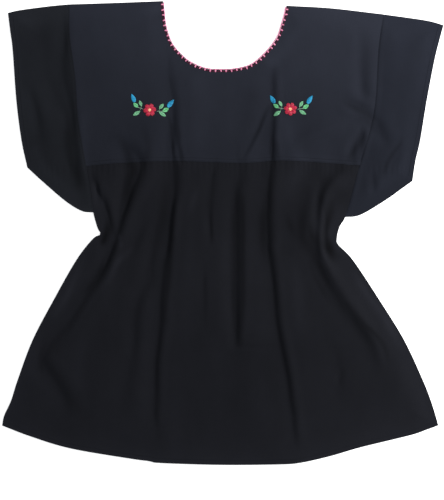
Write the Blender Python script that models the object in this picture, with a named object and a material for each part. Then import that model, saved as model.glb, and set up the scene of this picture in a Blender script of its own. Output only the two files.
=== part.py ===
"""An embroidered peasant blouse, laid flat with its back up.

The yoke is one cloth folded over at the shoulders, with a round neck. Two short wide sleeves are sewn to
its sides, and a full front and back body are sewn under it. The front lies flat on the surface, and the
back lies on the front, with its folds standing up. Metres, +Z up, +Y towards the neck, origin under the
middle of the blouse. Left and right are those of the picture, seen from above.
"""

import math
from collections import namedtuple

import bmesh
import bpy
import numpy as np
from mathutils import Vector, geometry
from mathutils.bvhtree import BVHTree

# Cloth: one layer's thickness, the clearance between pieces, and where the upper layer starts
CLOTH = 0.0012
CLEARANCE = 0.0003
UPPER_LAY = CLOTH + CLEARANCE
SEAM_INSET = 0.0002
FOLD_REACH = (UPPER_LAY + CLOTH) / 2
EDGING_LIFT = 0.0002
FOLD_ANGLES = (45, 0, -45)
STEEPEST = 2.2

# The middle of the finished blouse in the frame of the tables below, which becomes the origin
MIDDLE = (0.0012, 0.0001, 0.0)

# How far the upper layer rises off the lower one away from every edge
YOKE_LOFT = 0.0038
BODY_LOFT = 0.0052
LOFT_RUN = 0.022
LOFT_BLEND = 0.060
SOFT_FLOOR = 0.0004
YOKE_SEAM_Y = 0.106

# Neck: a rounded scoop in the back, and the front's, which is cut that much deeper
NECK_BACK = (
    (-0.0893, 0.3500),
    (-0.0876, 0.3293),
    (-0.0854, 0.3140),
    (-0.0811, 0.2987),
    (-0.0740, 0.2833),
    (-0.0599, 0.2680),
    (-0.0485, 0.2587),
    (-0.0255, 0.2489),
    (-0.0025, 0.2470),
    (0.0205, 0.2482),
    (0.0436, 0.2543),
    (0.0610, 0.2679),
    (0.0750, 0.2832),
    (0.0849, 0.2986),
    (0.0899, 0.3139),
    (0.0944, 0.3292),
    (0.0973, 0.3430),
)
NECK_FRONT_EXTRA = 0.028

# Edges of the cut pieces, as points that a smooth curve runs through
SHOULDER_LEFT = ((-0.2310, 0.3450), (-0.1690, 0.3470), (-0.0893, 0.3500))
SHOULDER_RIGHT = ((0.0973, 0.3430), (0.1642, 0.3392), (0.2442, 0.3299))
SLEEVE_TOP_LEFT = ((-0.2310, 0.3450), (-0.2600, 0.3423), (-0.3055, 0.3363), (-0.3240, 0.3320))
SLEEVE_TOP_RIGHT = ((0.2442, 0.3299), (0.3081, 0.3207), (0.3348, 0.3136))
CUFF_LEFT = (
    (-0.3240, 0.3320),
    (-0.3209, 0.3067),
    (-0.3170, 0.2764),
    (-0.3115, 0.2007),
    (-0.3037, 0.1401),
    (-0.2948, 0.0990),
)
CUFF_RIGHT = (
    (0.3348, 0.3136),
    (0.3289, 0.2916),
    (0.3214, 0.2613),
    (0.3098, 0.2007),
    (0.2998, 0.1401),
    (0.2928, 0.1098),
    (0.2880, 0.0786),
)
UNDERARM_LEFT = (
    (-0.1953, 0.0318),
    (-0.2129, 0.0340),
    (-0.2379, 0.0492),
    (-0.2735, 0.0795),
    (-0.2948, 0.0990),
)
UNDERARM_RIGHT = ((0.1863, 0.0242), (0.2096, 0.0274), (0.2467, 0.0492), (0.2681, 0.0643), (0.2880, 0.0786))
ARMHOLE_LEFT = (
    (-0.2310, 0.3450),
    (-0.2305, 0.2990),
    (-0.2220, 0.2350),
    (-0.2174, 0.1710),
    (-0.2053, 0.1008),
)
ARMHOLE_RIGHT = (
    (0.2442, 0.3299),
    (0.2367, 0.2779),
    (0.2324, 0.2030),
    (0.2250, 0.1600),
    (0.2077, 0.1020),
)
SIDE_LEFT = (
    (-0.2053, 0.1008),
    (-0.1990, 0.0650),
    (-0.1953, 0.0318),
    (-0.1887, 0.0075),
    (-0.1838, -0.0020),
    (-0.1950, -0.0080),
    (-0.2208, -0.0410),
    (-0.2556, -0.1023),
    (-0.2873, -0.1629),
    (-0.3099, -0.2235),
    (-0.3196, -0.2538),
    (-0.3300, -0.2765),
    (-0.3330, -0.2915),
)
SIDE_RIGHT = (
    (0.2077, 0.1020),
    (0.1990, 0.0697),
    (0.1863, 0.0242),
    (0.1786, 0.0113),
    (0.1743, -0.0030),
    (0.1733, -0.0114),
    (0.1769, -0.0190),
    (0.1986, -0.0417),
    (0.2387, -0.1023),
    (0.2760, -0.1629),
    (0.3042, -0.2235),
    (0.3158, -0.2531),
    (0.3232, -0.2765),
    (0.3272, -0.2912),
)
YOKE_SEAM = (
    (-0.2053, 0.1008),
    (-0.1538, 0.1056),
    (-0.0705, 0.1085),
    (0.0280, 0.1056),
    (0.0962, 0.1093),
    (0.2077, 0.1020),
)
HEM = (
    (-0.3330, -0.2915),
    (-0.2903, -0.3078),
    (-0.2297, -0.3261),
    (-0.1388, -0.3416),
    (-0.1095, -0.3454),
    (-0.0934, -0.3482),
    (-0.0025, -0.3510),
    (0.0854, -0.3503),
    (0.1187, -0.3478),
    (0.1642, -0.3376),
    (0.2096, -0.3244),
    (0.2854, -0.3059),
    (0.3081, -0.2982),
    (0.3272, -0.2912),
)

# Folds of the upper layer. A route's columns are x, y, depth, and how many times the reach it spreads
# there; a negative depth is a ridge. A reach is how wide the fold is on its left and right, seen along the
# route, and a lip is the swell beside it, as a share of the depth.
Fold = namedtuple("Fold", "name route reach_left reach_right lip_left lip_right")
FOLDS = (
    Fold(
        "centre_left",
        (
            (-0.0850, 0.2850, 0.0000, 1.0),
            (-0.0836, 0.2620, 0.0010, 1.0),
            (-0.0820, 0.2318, 0.0020, 1.0),
            (-0.0765, 0.2015, 0.0028, 0.9),
            (-0.0760, 0.1712, 0.0038, 0.9),
            (-0.0775, 0.1409, 0.0044, 0.9),
            (-0.0775, 0.1227, 0.0044, 0.9),
            (-0.0765, 0.1029, 0.0042, 1.2),
            (-0.0748, 0.0651, 0.0044, 1.1),
            (-0.0770, 0.0424, 0.0050, 0.8),
            (-0.0800, 0.0197, 0.0054, 0.8),
            (-0.0820, -0.0031, 0.0054, 0.8),
            (-0.0851, -0.0258, 0.0052, 0.9),
            (-0.0905, -0.0485, 0.0048, 1.1),
            (-0.0930, -0.0713, 0.0047, 1.1),
            (-0.0955, -0.1016, 0.0046, 1.0),
            (-0.0962, -0.1319, 0.0047, 1.0),
            (-0.0987, -0.1622, 0.0048, 0.9),
            (-0.1025, -0.1925, 0.0044, 0.9),
            (-0.1033, -0.2228, 0.0044, 0.9),
            (-0.1035, -0.2531, 0.0036, 0.9),
            (-0.1040, -0.2758, 0.0030, 0.8),
            (-0.1010, -0.2985, 0.0010, 0.8),
            (-0.0990, -0.3200, 0.0000, 0.8),
        ),
        0.0065,
        0.0180,
        0.25,
        0.00,
    ),
    Fold(
        "centre_right",
        (
            (0.0760, 0.2550, 0.0000, 0.8),
            (0.0742, 0.2318, 0.0024, 0.8),
            (0.0745, 0.2015, 0.0028, 0.8),
            (0.0742, 0.1712, 0.0036, 0.8),
            (0.0727, 0.1409, 0.0048, 0.8),
            (0.0725, 0.1227, 0.0050, 0.9),
            (0.0697, 0.1029, 0.0050, 1.1),
            (0.0668, 0.0651, 0.0050, 1.0),
            (0.0662, 0.0424, 0.0050, 1.0),
            (0.0652, 0.0197, 0.0052, 1.1),
            (0.0660, -0.0031, 0.0054, 1.1),
            (0.0670, -0.0258, 0.0054, 1.0),
            (0.0705, -0.0485, 0.0050, 1.0),
            (0.0740, -0.0713, 0.0050, 0.9),
            (0.0768, -0.1016, 0.0050, 0.9),
            (0.0792, -0.1319, 0.0048, 0.9),
            (0.0846, -0.1622, 0.0048, 0.9),
            (0.0906, -0.1925, 0.0048, 0.9),
            (0.0963, -0.2228, 0.0048, 0.9),
            (0.1000, -0.2531, 0.0045, 0.9),
            (0.1037, -0.2758, 0.0040, 0.9),
            (0.1060, -0.2985, 0.0032, 0.8),
            (0.1090, -0.3212, 0.0010, 0.8),
            (0.1110, -0.3320, 0.0000, 0.8),
        ),
        0.0065,
        0.0200,
        0.30,
        0.00,
    ),
    Fold(
        "side_left",
        (
            (-0.1510, 0.1480, 0.0000, 1.5),
            (-0.1430, 0.1260, 0.0040, 1.5),
            (-0.1330, 0.1047, 0.0078, 1.5),
            (-0.1345, 0.0893, 0.0082, 1.3),
            (-0.1420, 0.0676, 0.0078, 1.1),
            (-0.1480, 0.0444, 0.0070, 0.9),
            (-0.1550, 0.0215, 0.0056, 0.8),
            (-0.1612, -0.0017, 0.0046, 0.7),
            (-0.1688, -0.0244, 0.0050, 0.7),
            (-0.1785, -0.0463, 0.0058, 0.8),
            (-0.1919, -0.0683, 0.0060, 1.1),
            (-0.2130, -0.0969, 0.0060, 1.4),
            (-0.2330, -0.1272, 0.0060, 1.4),
            (-0.2580, -0.1571, 0.0046, 1.5),
            (-0.2740, -0.1800, 0.0046, 1.4),
            (-0.2750, -0.1980, 0.0046, 1.4),
            (-0.2546, -0.2272, 0.0044, 1.3),
            (-0.2383, -0.2578, 0.0034, 1.4),
            (-0.2300, -0.2830, 0.0000, 1.4),
        ),
        0.0080,
        0.0130,
        0.35,
        0.10,
    ),
    Fold(
        "centre",
        (
            (0.0250, 0.1060, 0.0016, 1.0),
            (0.0245, 0.0878, 0.0026, 1.0),
            (0.0185, 0.0651, 0.0046, 1.0),
            (0.0176, 0.0424, 0.0056, 1.0),
            (0.0176, 0.0197, 0.0060, 1.0),
            (0.0176, -0.0258, 0.0062, 1.0),
            (0.0176, -0.0713, 0.0060, 1.0),
            (0.0180, -0.1016, 0.0060, 0.9),
            (0.0188, -0.1319, 0.0058, 0.8),
            (0.0192, -0.1622, 0.0040, 0.7),
            (0.0195, -0.1770, 0.0000, 0.7),
        ),
        0.0088,
        0.0140,
        0.20,
        0.05,
    ),
    Fold(
        "side_right_ridge",
        (
            (0.2030, 0.1020, 0.0000, 1.0),
            (0.1810, 0.0878, -0.0044, 1.0),
            (0.1600, 0.0651, -0.0056, 0.9),
            (0.1530, 0.0424, -0.0052, 0.8),
            (0.1500, 0.0197, -0.0048, 0.8),
            (0.1486, -0.0031, -0.0062, 0.8),
            (0.1515, -0.0258, -0.0064, 0.9),
            (0.1580, -0.0485, -0.0064, 1.0),
            (0.1700, -0.0713, -0.0062, 1.1),
            (0.1895, -0.1016, -0.0060, 1.2),
            (0.2104, -0.1319, -0.0056, 1.1),
            (0.2300, -0.1622, -0.0040, 1.0),
            (0.2400, -0.1925, -0.0020, 1.0),
            (0.2450, -0.2150, 0.0000, 1.0),
        ),
        0.0100,
        0.0085,
        0.10,
        0.20,
    ),
    Fold(
        "waist_left",
        (
            (-0.1990, 0.0950, 0.0000, 1.0),
            (-0.1965, 0.0820, 0.0020, 1.0),
            (-0.1905, 0.0651, 0.0034, 1.0),
            (-0.1800, 0.0424, 0.0038, 1.1),
            (-0.1738, 0.0197, 0.0044, 1.0),
            (-0.1745, -0.0031, 0.0046, 1.0),
            (-0.1840, -0.0230, 0.0014, 1.0),
            (-0.1900, -0.0320, 0.0000, 1.0),
        ),
        0.0055,
        0.0090,
        0.30,
        0.10,
    ),
    Fold(
        "between_left",
        (
            (-0.0950, 0.0424, 0.0000, 1.0),
            (-0.1040, -0.0130, 0.0022, 0.8),
            (-0.1110, -0.0485, 0.0036, 0.8),
            (-0.1145, -0.0713, 0.0040, 1.0),
            (-0.1290, -0.1016, 0.0040, 1.0),
            (-0.1350, -0.1319, 0.0038, 1.1),
            (-0.1350, -0.1622, 0.0040, 1.0),
            (-0.1414, -0.1925, 0.0036, 1.3),
            (-0.1475, -0.2228, 0.0034, 1.4),
            (-0.1530, -0.2531, 0.0026, 1.4),
            (-0.1590, -0.2900, 0.0000, 1.4),
        ),
        0.0090,
        0.0130,
        0.15,
        0.15,
    ),
    Fold(
        "sleeve_left",
        (
            (-0.2370, 0.3360, 0.0000, 0.7),
            (-0.2400, 0.2923, 0.0032, 0.8),
            (-0.2440, 0.2620, 0.0036, 1.0),
            (-0.2420, 0.2318, 0.0036, 1.0),
            (-0.2350, 0.2015, 0.0034, 1.0),
            (-0.2300, 0.1712, 0.0042, 1.0),
            (-0.2320, 0.1409, 0.0046, 1.3),
            (-0.2290, 0.1227, 0.0048, 1.3),
            (-0.2240, 0.0980, 0.0040, 1.0),
            (-0.2150, 0.0680, 0.0000, 0.8),
        ),
        0.0085,
        0.0160,
        0.20,
        0.10,
    ),
    Fold(
        "sleeve_right",
        (
            (0.2704, 0.1450, 0.0000, 1.0),
            (0.2613, 0.1136, 0.0026, 1.0),
            (0.2507, 0.0850, 0.0000, 1.0),
        ),
        0.0080,
        0.0100,
        0.20,
        0.10,
    ),
)

# Columns of the body follow these folds from the yoke seam to the hem. Seam and hem say where a line starts
# and ends, top is where it joins the fold's route, and reach is the unit of its close columns.
Guide = namedtuple("Guide", "fold seam_x top hem reach")
GUIDES = (
    Guide("side_left", -0.1330, 0.095, (-0.2250, -0.3265), 0.0060),
    Guide("centre_left", -0.0765, 0.085, (-0.1010, -0.3460), 0.0056),
    Guide("centre", 0.0247, 0.085, (0.0205, -0.3500), 0.0075),
    Guide("centre_right", 0.0697, 0.085, (0.1125, -0.3470), 0.0056),
    Guide("side_right_ridge", 0.1800, 0.080, (0.2950, -0.2995), 0.0068),
)
CLOSE_COLUMNS = (-2.1, -1.35, -0.75, 0.0, 0.75, 1.35, 2.1)
OPEN_PARTS = 3
# Share of the body's width, at either side, where the rows bend to meet the side seams
SIDE_SHARE = 0.08

BODY_ROWS = (
    0.0, 0.045, 0.09, 0.135, 0.176, 0.198, 0.23, 0.262, 0.289, 0.32, 0.36, 0.41,
    0.46, 0.51, 0.56, 0.61, 0.66, 0.715, 0.77, 0.83, 0.89, 0.945, 1.0,
)  # fmt: skip
BODY_FRONT_ROWS = (0, 2, 4, 5, 6, 7, 8, 9, 11, 14, 17, 20, 22)
BODY_FRONT_COLUMNS = 10
LEFT_SLEEVE_ROWS = 5
RIGHT_SLEEVE_ROWS = 6

# Yoke columns: where a column that starts at x on the yoke seam ends. Place is -1 to 0 along the left
# shoulder, 0 to 1 round the neck, and 1 to 2 along the right shoulder.
YOKE_GRAIN_X = (-0.2053, -0.0880, -0.0740, 0.0050, 0.0730, 0.0880, 0.2077)
YOKE_GRAIN_PLACE = (-1.0, 0.0, 0.20, 0.50, 0.80, 1.0, 2.0)
YOKE_PARTS = (4, 5, 7, 7, 5, 4)
YOKE_ROWS = (0.0, 0.06, 0.13, 0.21, 0.29, 0.37, 0.45, 0.53, 0.61, 0.70, 0.79, 0.88, 0.95, 1.0)
YOKE_FRONT_ROWS = (0, 2, 4, 7, 10, 13)
SLEEVE_SHARES = (0.0, 0.12, 0.26, 0.42, 0.60, 0.80, 1.0)

# Crocheted neck edging: a band round the neck, with stitches over the cloth at the back
EDGING_WIDTH = 0.0018
EDGING_STITCHES = 38
STITCH_LENGTH = 0.0046
STITCH_WIDTH = 0.0021
STITCH_HEIGHT = 0.0009

# Embroidery: each flower's place, petals and turn, and each sprig's flower, side, turn and length. The
# lower leaf has a turn and length of its own.
Flower = namedtuple("Flower", "name x y petals turn")
FLOWERS = (
    Flower("left", -0.1095, 0.1857, 6, math.radians(8)),
    Flower("right", 0.1030, 0.1871, 7, math.radians(2)),
)
Sprig = namedtuple("Sprig", "flower side turn stretch low_turn low_stretch")
SPRIGS = (
    Sprig("left", "outer", math.radians(9), 0.97, math.radians(3), 1.00),
    Sprig("left", "inner", math.radians(-9), 1.05, math.radians(0), 0.98),
    Sprig("right", "inner", math.radians(2), 0.97, math.radians(-1), 1.03),
    Sprig("right", "outer", math.radians(-1), 1.03, math.radians(2), 0.94),
)
FLOWER_RADIUS = 0.0101
PETAL_DIP = 0.30
PETAL_STEPS = 6
FLOWER_CENTRE_RADIUS = 0.0024
FLOWER_CENTRE_SIDES = 10
THREAD_RISE = 0.0009
THREAD_LIFT = 0.0005
THREAD_REACH = 0.0012

# A sprig's parts, in a frame with the flower's centre at its origin and the sprig towards +X
STEM = ((0.0104, -0.0004), (0.0138, 0.0006), (0.0172, 0.0008), (0.0196, 0.0020))
STEM_HALF_WIDTH = 0.0006
UPPER_STALK = ((0.0134, 0.0006), (0.0138, 0.0045))
LOWER_STALK_TOP = (0.0136, 0.0006)
LOWER_STALK_END = (0.0156, -0.0036)
Leaf = namedtuple("Leaf", "base tip half_width")
UPPER_LEAF = Leaf((0.0133, 0.0036), (0.0179, 0.0114), 0.0026)
LOWER_LEAF = Leaf((0.0145, -0.0029), (0.0241, -0.0090), 0.0029)
CALYX = Leaf((0.0184, 0.0010), (0.0260, 0.0064), 0.0031)
BUD = Leaf((0.0238, 0.0072), (0.0321, 0.0202), 0.0035)
BUD_CUT = 0.10
LEAF_STEPS = 6

Paint = namedtuple("Paint", "colour roughness")
PAINTS = {
    "yoke_cloth": Paint((0.024, 0.026, 0.036, 1), 0.85),
    "body_cloth": Paint((0.012, 0.013, 0.016, 1), 0.88),
    "pink_thread": Paint((0.78, 0.16, 0.30, 1), 0.6),
    "red_thread": Paint((0.58, 0.015, 0.05, 1), 0.5),
    "yellow_thread": Paint((0.90, 0.50, 0.22, 1), 0.5),
    "green_thread": Paint((0.17, 0.55, 0.22, 1), 0.5),
    "blue_thread": Paint((0.02, 0.30, 0.72, 1), 0.5),
}


def clear_scene():
    for obj in list(bpy.data.objects):
        bpy.data.objects.remove(obj)


def painted(name):
    """The material of that name."""
    material = bpy.data.materials.get(name)
    if material is None:
        paint = PAINTS[name]
        material = bpy.data.materials.new(name)
        material.use_nodes = True
        shader = material.node_tree.nodes["Principled BSDF"]
        shader.inputs["Base Color"].default_value = paint.colour
        shader.inputs["Roughness"].default_value = paint.roughness
        shader.inputs["Metallic"].default_value = 0.0
        material.diffuse_color = paint.colour
    return material


def smooth_curve(points, steps=6):
    """Points on a smooth curve that runs through all the given ones, with so many steps between two."""
    given = np.array(points, float)
    before = np.vstack([2 * given[0] - given[1], given, 2 * given[-1] - given[-2]])
    made = [given[0]]
    for i in range(1, len(given)):
        p0, p1, p2, p3 = before[i - 1 : i + 3]
        for k in range(1, steps + 1):
            t = k / steps
            made.append(
                0.5
                * (
                    2 * p1
                    + (p2 - p0) * t
                    + (2 * p0 - 5 * p1 + 4 * p2 - p3) * t**2
                    + (3 * p1 - p0 - 3 * p2 + p3) * t**3
                )
            )
    return np.array(made)


def along(curve, shares):
    """Points at these shares of a curve's length."""
    steps = np.linalg.norm(np.diff(curve, axis=0), axis=1)
    reached = np.concatenate([[0], np.cumsum(steps)]) / steps.sum()
    return np.stack([np.interp(shares, reached, curve[:, k]) for k in range(curve.shape[1])], axis=1)


def down(curve, levels):
    """Points of a curve that runs down the blouse, at these shares of its drop."""
    y = curve[0, 1] + np.asarray(levels) * (curve[-1, 1] - curve[0, 1])
    return np.stack([np.interp(-y, -curve[:, 1], curve[:, 0]), y], axis=1)


def neck_curve(extra_depth):
    """The neck's edge, with its bottom lowered by that much."""
    line = smooth_curve(NECK_BACK)
    depth = line[0, 1] - line[:, 1].min()
    top = line[0, 1] + (line[-1, 1] - line[0, 1]) * np.linspace(0, 1, len(line))
    line[:, 1] -= (top - line[:, 1]) / depth * extra_depth
    return line


def blouse_outline():
    """The whole blouse's edge, as a closed line of points."""
    neck = neck_curve(0)[::-1]
    lines = (
        smooth_curve(SHOULDER_LEFT)[::-1],
        smooth_curve(SLEEVE_TOP_LEFT),
        smooth_curve(CUFF_LEFT),
        smooth_curve(UNDERARM_LEFT)[::-1],
        smooth_curve(SIDE_LEFT[2:]),
        smooth_curve(HEM),
        smooth_curve(SIDE_RIGHT[2:])[::-1],
        smooth_curve(UNDERARM_RIGHT),
        smooth_curve(CUFF_RIGHT)[::-1],
        smooth_curve(SLEEVE_TOP_RIGHT)[::-1],
        smooth_curve(SHOULDER_RIGHT)[::-1],
        neck,
    )
    return np.vstack(lines)


def nearest_on_line(x, y, line):
    """(distance, side, further columns) of each point's nearest place on a line; side is 1 on its left."""
    best = np.full(x.shape, np.inf)
    side = np.ones(x.shape)
    extra = np.zeros(x.shape + (line.shape[1] - 2,))
    for start, end in zip(line[:-1], line[1:]):
        run = end[:2] - start[:2]
        length = max(run @ run, 1e-12)
        share = np.clip(((x - start[0]) * run[0] + (y - start[1]) * run[1]) / length, 0, 1)
        dx = x - start[0] - share * run[0]
        dy = y - start[1] - share * run[1]
        gap = np.hypot(dx, dy)
        closer = gap < best
        best = np.where(closer, gap, best)
        side = np.where(closer, np.where(run[0] * dy - run[1] * dx > 0, 1.0, -1.0), side)
        value = start[2:] + share[..., None] * (end[2:] - start[2:])
        extra = np.where(closer[..., None], value, extra)
    return best, side, extra


OUTLINE = blouse_outline()
FOLD_LINES = [smooth_curve(fold.route, 4) for fold in FOLDS]


def fold_height(x, y, fold, line):
    """What one fold adds to the height of the upper layer."""
    gap, side, extra = nearest_on_line(x, y, line)
    depth, spread = extra[..., 0], extra[..., 1]
    left = side > 0
    reach = np.where(left, fold.reach_left, fold.reach_right) * spread
    lip = np.where(left, fold.lip_left, fold.lip_right)
    across = gap / reach
    return depth * (lip * np.exp(-((across - 2.1) ** 2) / 1.2) - np.exp(-(across**2)))


def lay(x, y):
    """Height of the underside of the upper layer above the surface that the blouse lies on."""
    x, y = np.asarray(x, float), np.asarray(y, float)
    edge = nearest_on_line(x, y, OUTLINE)[0]
    below = np.clip((YOKE_SEAM_Y + 0.01 - y) / LOFT_BLEND, 0, 1)
    loft = YOKE_LOFT + (BODY_LOFT - YOKE_LOFT) * below * below * (3 - 2 * below)
    rise = loft * (1 - np.exp(-((edge / LOFT_RUN) ** 2)))
    fading = 1 - np.exp(-((edge / (LOFT_RUN / 2)) ** 2))
    for fold, line in zip(FOLDS, FOLD_LINES):
        rise = rise + fold_height(x, y, fold, line) * fading
    floor = 0.5 * (np.sqrt(rise * rise + SOFT_FLOOR**2) + rise)
    return UPPER_LAY + floor


def wall_height(x, y):
    """Upright thickness that makes the sloping upper layer one cloth thick."""
    step = 0.0008
    slope_x = (lay(x + step, y) - lay(x - step, y)) / (2 * step)
    slope_y = (lay(x, y + step) - lay(x, y - step)) / (2 * step)
    return CLOTH * np.minimum(np.sqrt(1 + slope_x**2 + slope_y**2), STEEPEST)


def upper_points(plan):
    """(outer, inner) points of the upper layer over plan points."""
    low = lay(plan[:, 0], plan[:, 1])
    high = low + wall_height(plan[:, 0], plan[:, 1])
    return np.column_stack([plan, high]), np.column_stack([plan, low])


def lower_points(plan):
    """(outer, inner) points of the lower layer, flat on the surface."""
    zero = np.zeros(len(plan))
    return np.column_stack([plan, zero]), np.column_stack([plan, zero + CLOTH])


class Cloth:
    """Collects a cloth wall's points, outer and inner, and the four-sided faces between them."""

    def __init__(self):
        self.outer = []
        self.inner = []
        self.quads = []

    def add(self, outer, inner):
        """Adds a line of points and returns their numbers."""
        first = len(self.outer)
        self.outer += [tuple(p) for p in outer]
        self.inner += [tuple(p) for p in inner]
        return list(range(first, len(self.outer)))

    def join(self, line, following):
        """Faces between two lines of the same length."""
        for a, b, c, d in zip(line, line[1:], following[1:], following):
            self.quads.append((a, b, c, d))

    def add_rows(self, rows, points_of):
        """Adds each row of plan points as a line and joins the rows. Returns the lines."""
        lines = [self.add(*points_of(np.asarray(row))) for row in rows]
        for line, following in zip(lines, lines[1:]):
            self.join(line, following)
        return lines

    def fold_over(self, upper, lower, outward):
        """Joins the upper layer's edge to the lower layer's with a round fold, bulging outward in plan."""
        last = upper
        top = np.array([self.outer[k] for k in upper])
        under = np.array([self.inner[k] for k in upper])
        for angle in FOLD_ANGLES:
            cos, sin = math.cos(math.radians(angle)), math.sin(math.radians(angle))
            outer, inner = top.copy(), under.copy()
            outer[:, :2] += outward * FOLD_REACH * cos
            outer[:, 2] = top[:, 2] / 2 * (1 + sin)
            inner[:, :2] += outward * CLEARANCE / 2 * cos
            inner[:, 2] = (under[:, 2] + CLOTH) / 2 + (under[:, 2] - CLOTH) / 2 * sin
            line = self.add(outer, inner)
            self.join(last, line)
            last = line
        self.join(last, lower)

    def triangles(self):
        """Each face as two triangles, split along its more level diagonal."""
        made = []
        for a, b, c, d in self.quads:
            z = [self.outer[k][2] for k in (a, b, c, d)]
            if abs(z[0] - z[2]) <= abs(z[1] - z[3]):
                made += [(a, b, c), (a, c, d)]
            else:
                made += [(a, b, d), (b, c, d)]
        return made

    def build(self, name, material):
        """Makes the closed wall: outer faces, inner faces and a rim along every free edge."""
        faces = self.triangles()
        uses = {}
        for face in faces:
            for a, b in zip(face, face[1:] + face[:1]):
                uses[frozenset((a, b))] = None if frozenset((a, b)) in uses else (a, b)
        shift = len(self.outer)
        whole = list(faces) + [tuple(k + shift for k in reversed(face)) for face in faces]
        for edge in filter(None, uses.values()):
            a, b = edge
            whole += [(b, a, a + shift), (b, a + shift, b + shift)]
        return solid(name, self.outer + self.inner, whole, material)


def solid(name, points, faces, material):
    """An object from points and faces, with its faces turned outwards."""
    mesh = bpy.data.meshes.new(name)
    mesh.from_pydata([tuple(Vector(p) - Vector(MIDDLE)) for p in points], [], faces)
    shape = bmesh.new()
    shape.from_mesh(mesh)
    bmesh.ops.recalc_face_normals(shape, faces=shape.faces)
    shape.to_mesh(mesh)
    shape.free()
    mesh.shade_smooth()
    mesh.set_sharp_from_angle(angle=math.radians(50))
    mesh.materials.append(painted(material))
    obj = bpy.data.objects.new(name, mesh)
    bpy.context.scene.collection.objects.link(obj)
    return obj


def outward_of(edge):
    """Unit plan directions square to an edge line, on its left going along it."""
    run = np.gradient(np.asarray(edge), axis=0)
    run /= np.linalg.norm(run, axis=1)[:, None]
    return np.column_stack([-run[:, 1], run[:, 0]])


def seam_height(x):
    line = smooth_curve(YOKE_SEAM)
    return np.interp(x, line[:, 0], line[:, 1])


def hem_height(x):
    line = smooth_curve(HEM)
    return np.interp(x, line[:, 0], line[:, 1])


def guide_line(guide):
    """The line that a guide's middle column follows, from the yoke seam to the hem."""
    route = next(fold.route for fold in FOLDS if fold.name == guide.fold)
    middle = [point[:2] for point in route if point[1] < guide.top]
    seam = (guide.seam_x, float(seam_height(guide.seam_x)))
    return smooth_curve([seam, *middle[:-1], guide.hem], 4)


def body_row(level, guides):
    """Plan points across the body, at this share of the way from the yoke seam to the hem."""
    left = down(smooth_curve(SIDE_LEFT), [level])[0]
    right = down(smooth_curve(SIDE_RIGHT), [level])[0]
    stops = [left[0]]
    for guide, line in guides:
        middle = down(line, [level])[0, 0]
        stops += [middle + share * guide.reach for share in CLOSE_COLUMNS]
    stops.append(right[0])
    across = [stops[0]]
    for k in range(1, len(stops)):
        parts = OPEN_PARTS if (k - 1) % len(CLOSE_COLUMNS) == 0 else 1
        across += [stops[k - 1] + (stops[k] - stops[k - 1]) * part / parts for part in range(1, parts + 1)]
    x = np.array(across)
    share = (x - left[0]) / (right[0] - left[0])
    ruled = seam_height(x) + level * (hem_height(x) - seam_height(x))
    near_left, near_right = (np.clip(1 - s / SIDE_SHARE, 0, 1) for s in (share, 1 - share))
    level_y = ruled + (left[1] - ruled[0]) * near_left + (right[1] - ruled[-1]) * near_right
    row = np.column_stack([x, level_y])
    row[0, 0] += SEAM_INSET
    row[-1, 0] -= SEAM_INSET
    if level == 0:
        row[:, 1] -= SEAM_INSET
    return row


def body_rows():
    guides = [(guide, guide_line(guide)) for guide in GUIDES]
    return [body_row(level, guides) for level in BODY_ROWS]


def body_back(rows):
    cloth = Cloth()
    cloth.add_rows(rows, upper_points)
    return cloth


def body_front(rows):
    cloth = Cloth()
    picks = np.linspace(0, len(rows[0]) - 1, BODY_FRONT_COLUMNS + 1).round().astype(int)
    cloth.add_rows([rows[k][picks] for k in BODY_FRONT_ROWS], lower_points)
    return cloth


def patch(left, right, top, bottom, shares):
    """Rows of plan points between four edges. Left and right are as long as there are rows, and top,
    bottom and shares as long as there are columns."""
    left, right, top, bottom = (np.asarray(edge, float) for edge in (left, right, top, bottom))
    drop = np.linalg.norm(np.diff(left, axis=0), axis=1)
    levels = np.concatenate([[0], np.cumsum(drop)]) / drop.sum()
    u = np.asarray(shares)[:, None]
    rows = []
    for k, v in enumerate(levels):
        corners = (1 - v) * ((1 - u) * top[0] + u * top[-1]) + v * ((1 - u) * bottom[0] + u * bottom[-1])
        rows.append((1 - v) * top + v * bottom + (1 - u) * left[k] + u * right[k] - corners)
    return rows


def top_point(place, neck_extra):
    """A point of the yoke's top edge: -1 to 0 is the left shoulder, 0 to 1 the neck, 1 to 2 the right."""
    if place <= 0:
        return along(smooth_curve(SHOULDER_LEFT), [place + 1])[0]
    if place >= 1:
        return along(smooth_curve(SHOULDER_RIGHT), [place - 1])[0]
    return along(neck_curve(neck_extra), [place])[0]


def yoke_columns():
    """(bottom places, top places) of the yoke's columns."""
    low, high = [YOKE_GRAIN_X[0]], [YOKE_GRAIN_PLACE[0]]
    for k, parts in enumerate(YOKE_PARTS):
        for part in range(1, parts + 1):
            low.append(YOKE_GRAIN_X[k] + (YOKE_GRAIN_X[k + 1] - YOKE_GRAIN_X[k]) * part / parts)
            high.append(YOKE_GRAIN_PLACE[k] + (YOKE_GRAIN_PLACE[k + 1] - YOKE_GRAIN_PLACE[k]) * part / parts)
    return np.array(low), np.array(high)


def yoke_rows(neck_extra):
    low, high = yoke_columns()
    bottom = np.column_stack([low, seam_height(low)])
    top = np.array([top_point(place, neck_extra) for place in high])
    left = along(smooth_curve(ARMHOLE_LEFT), YOKE_ROWS)
    right = along(smooth_curve(ARMHOLE_RIGHT), YOKE_ROWS)
    top[0], top[-1] = left[0], right[0]
    bottom[0], bottom[-1] = left[-1], right[-1]
    shares = (low - low[0]) / (low[-1] - low[0])
    rows = patch(left, right, top, bottom, shares)
    for row in rows:
        row[0, 0] += SEAM_INSET
        row[-1, 0] -= SEAM_INSET
    rows[-1][:, 1] += SEAM_INSET
    return rows


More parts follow.
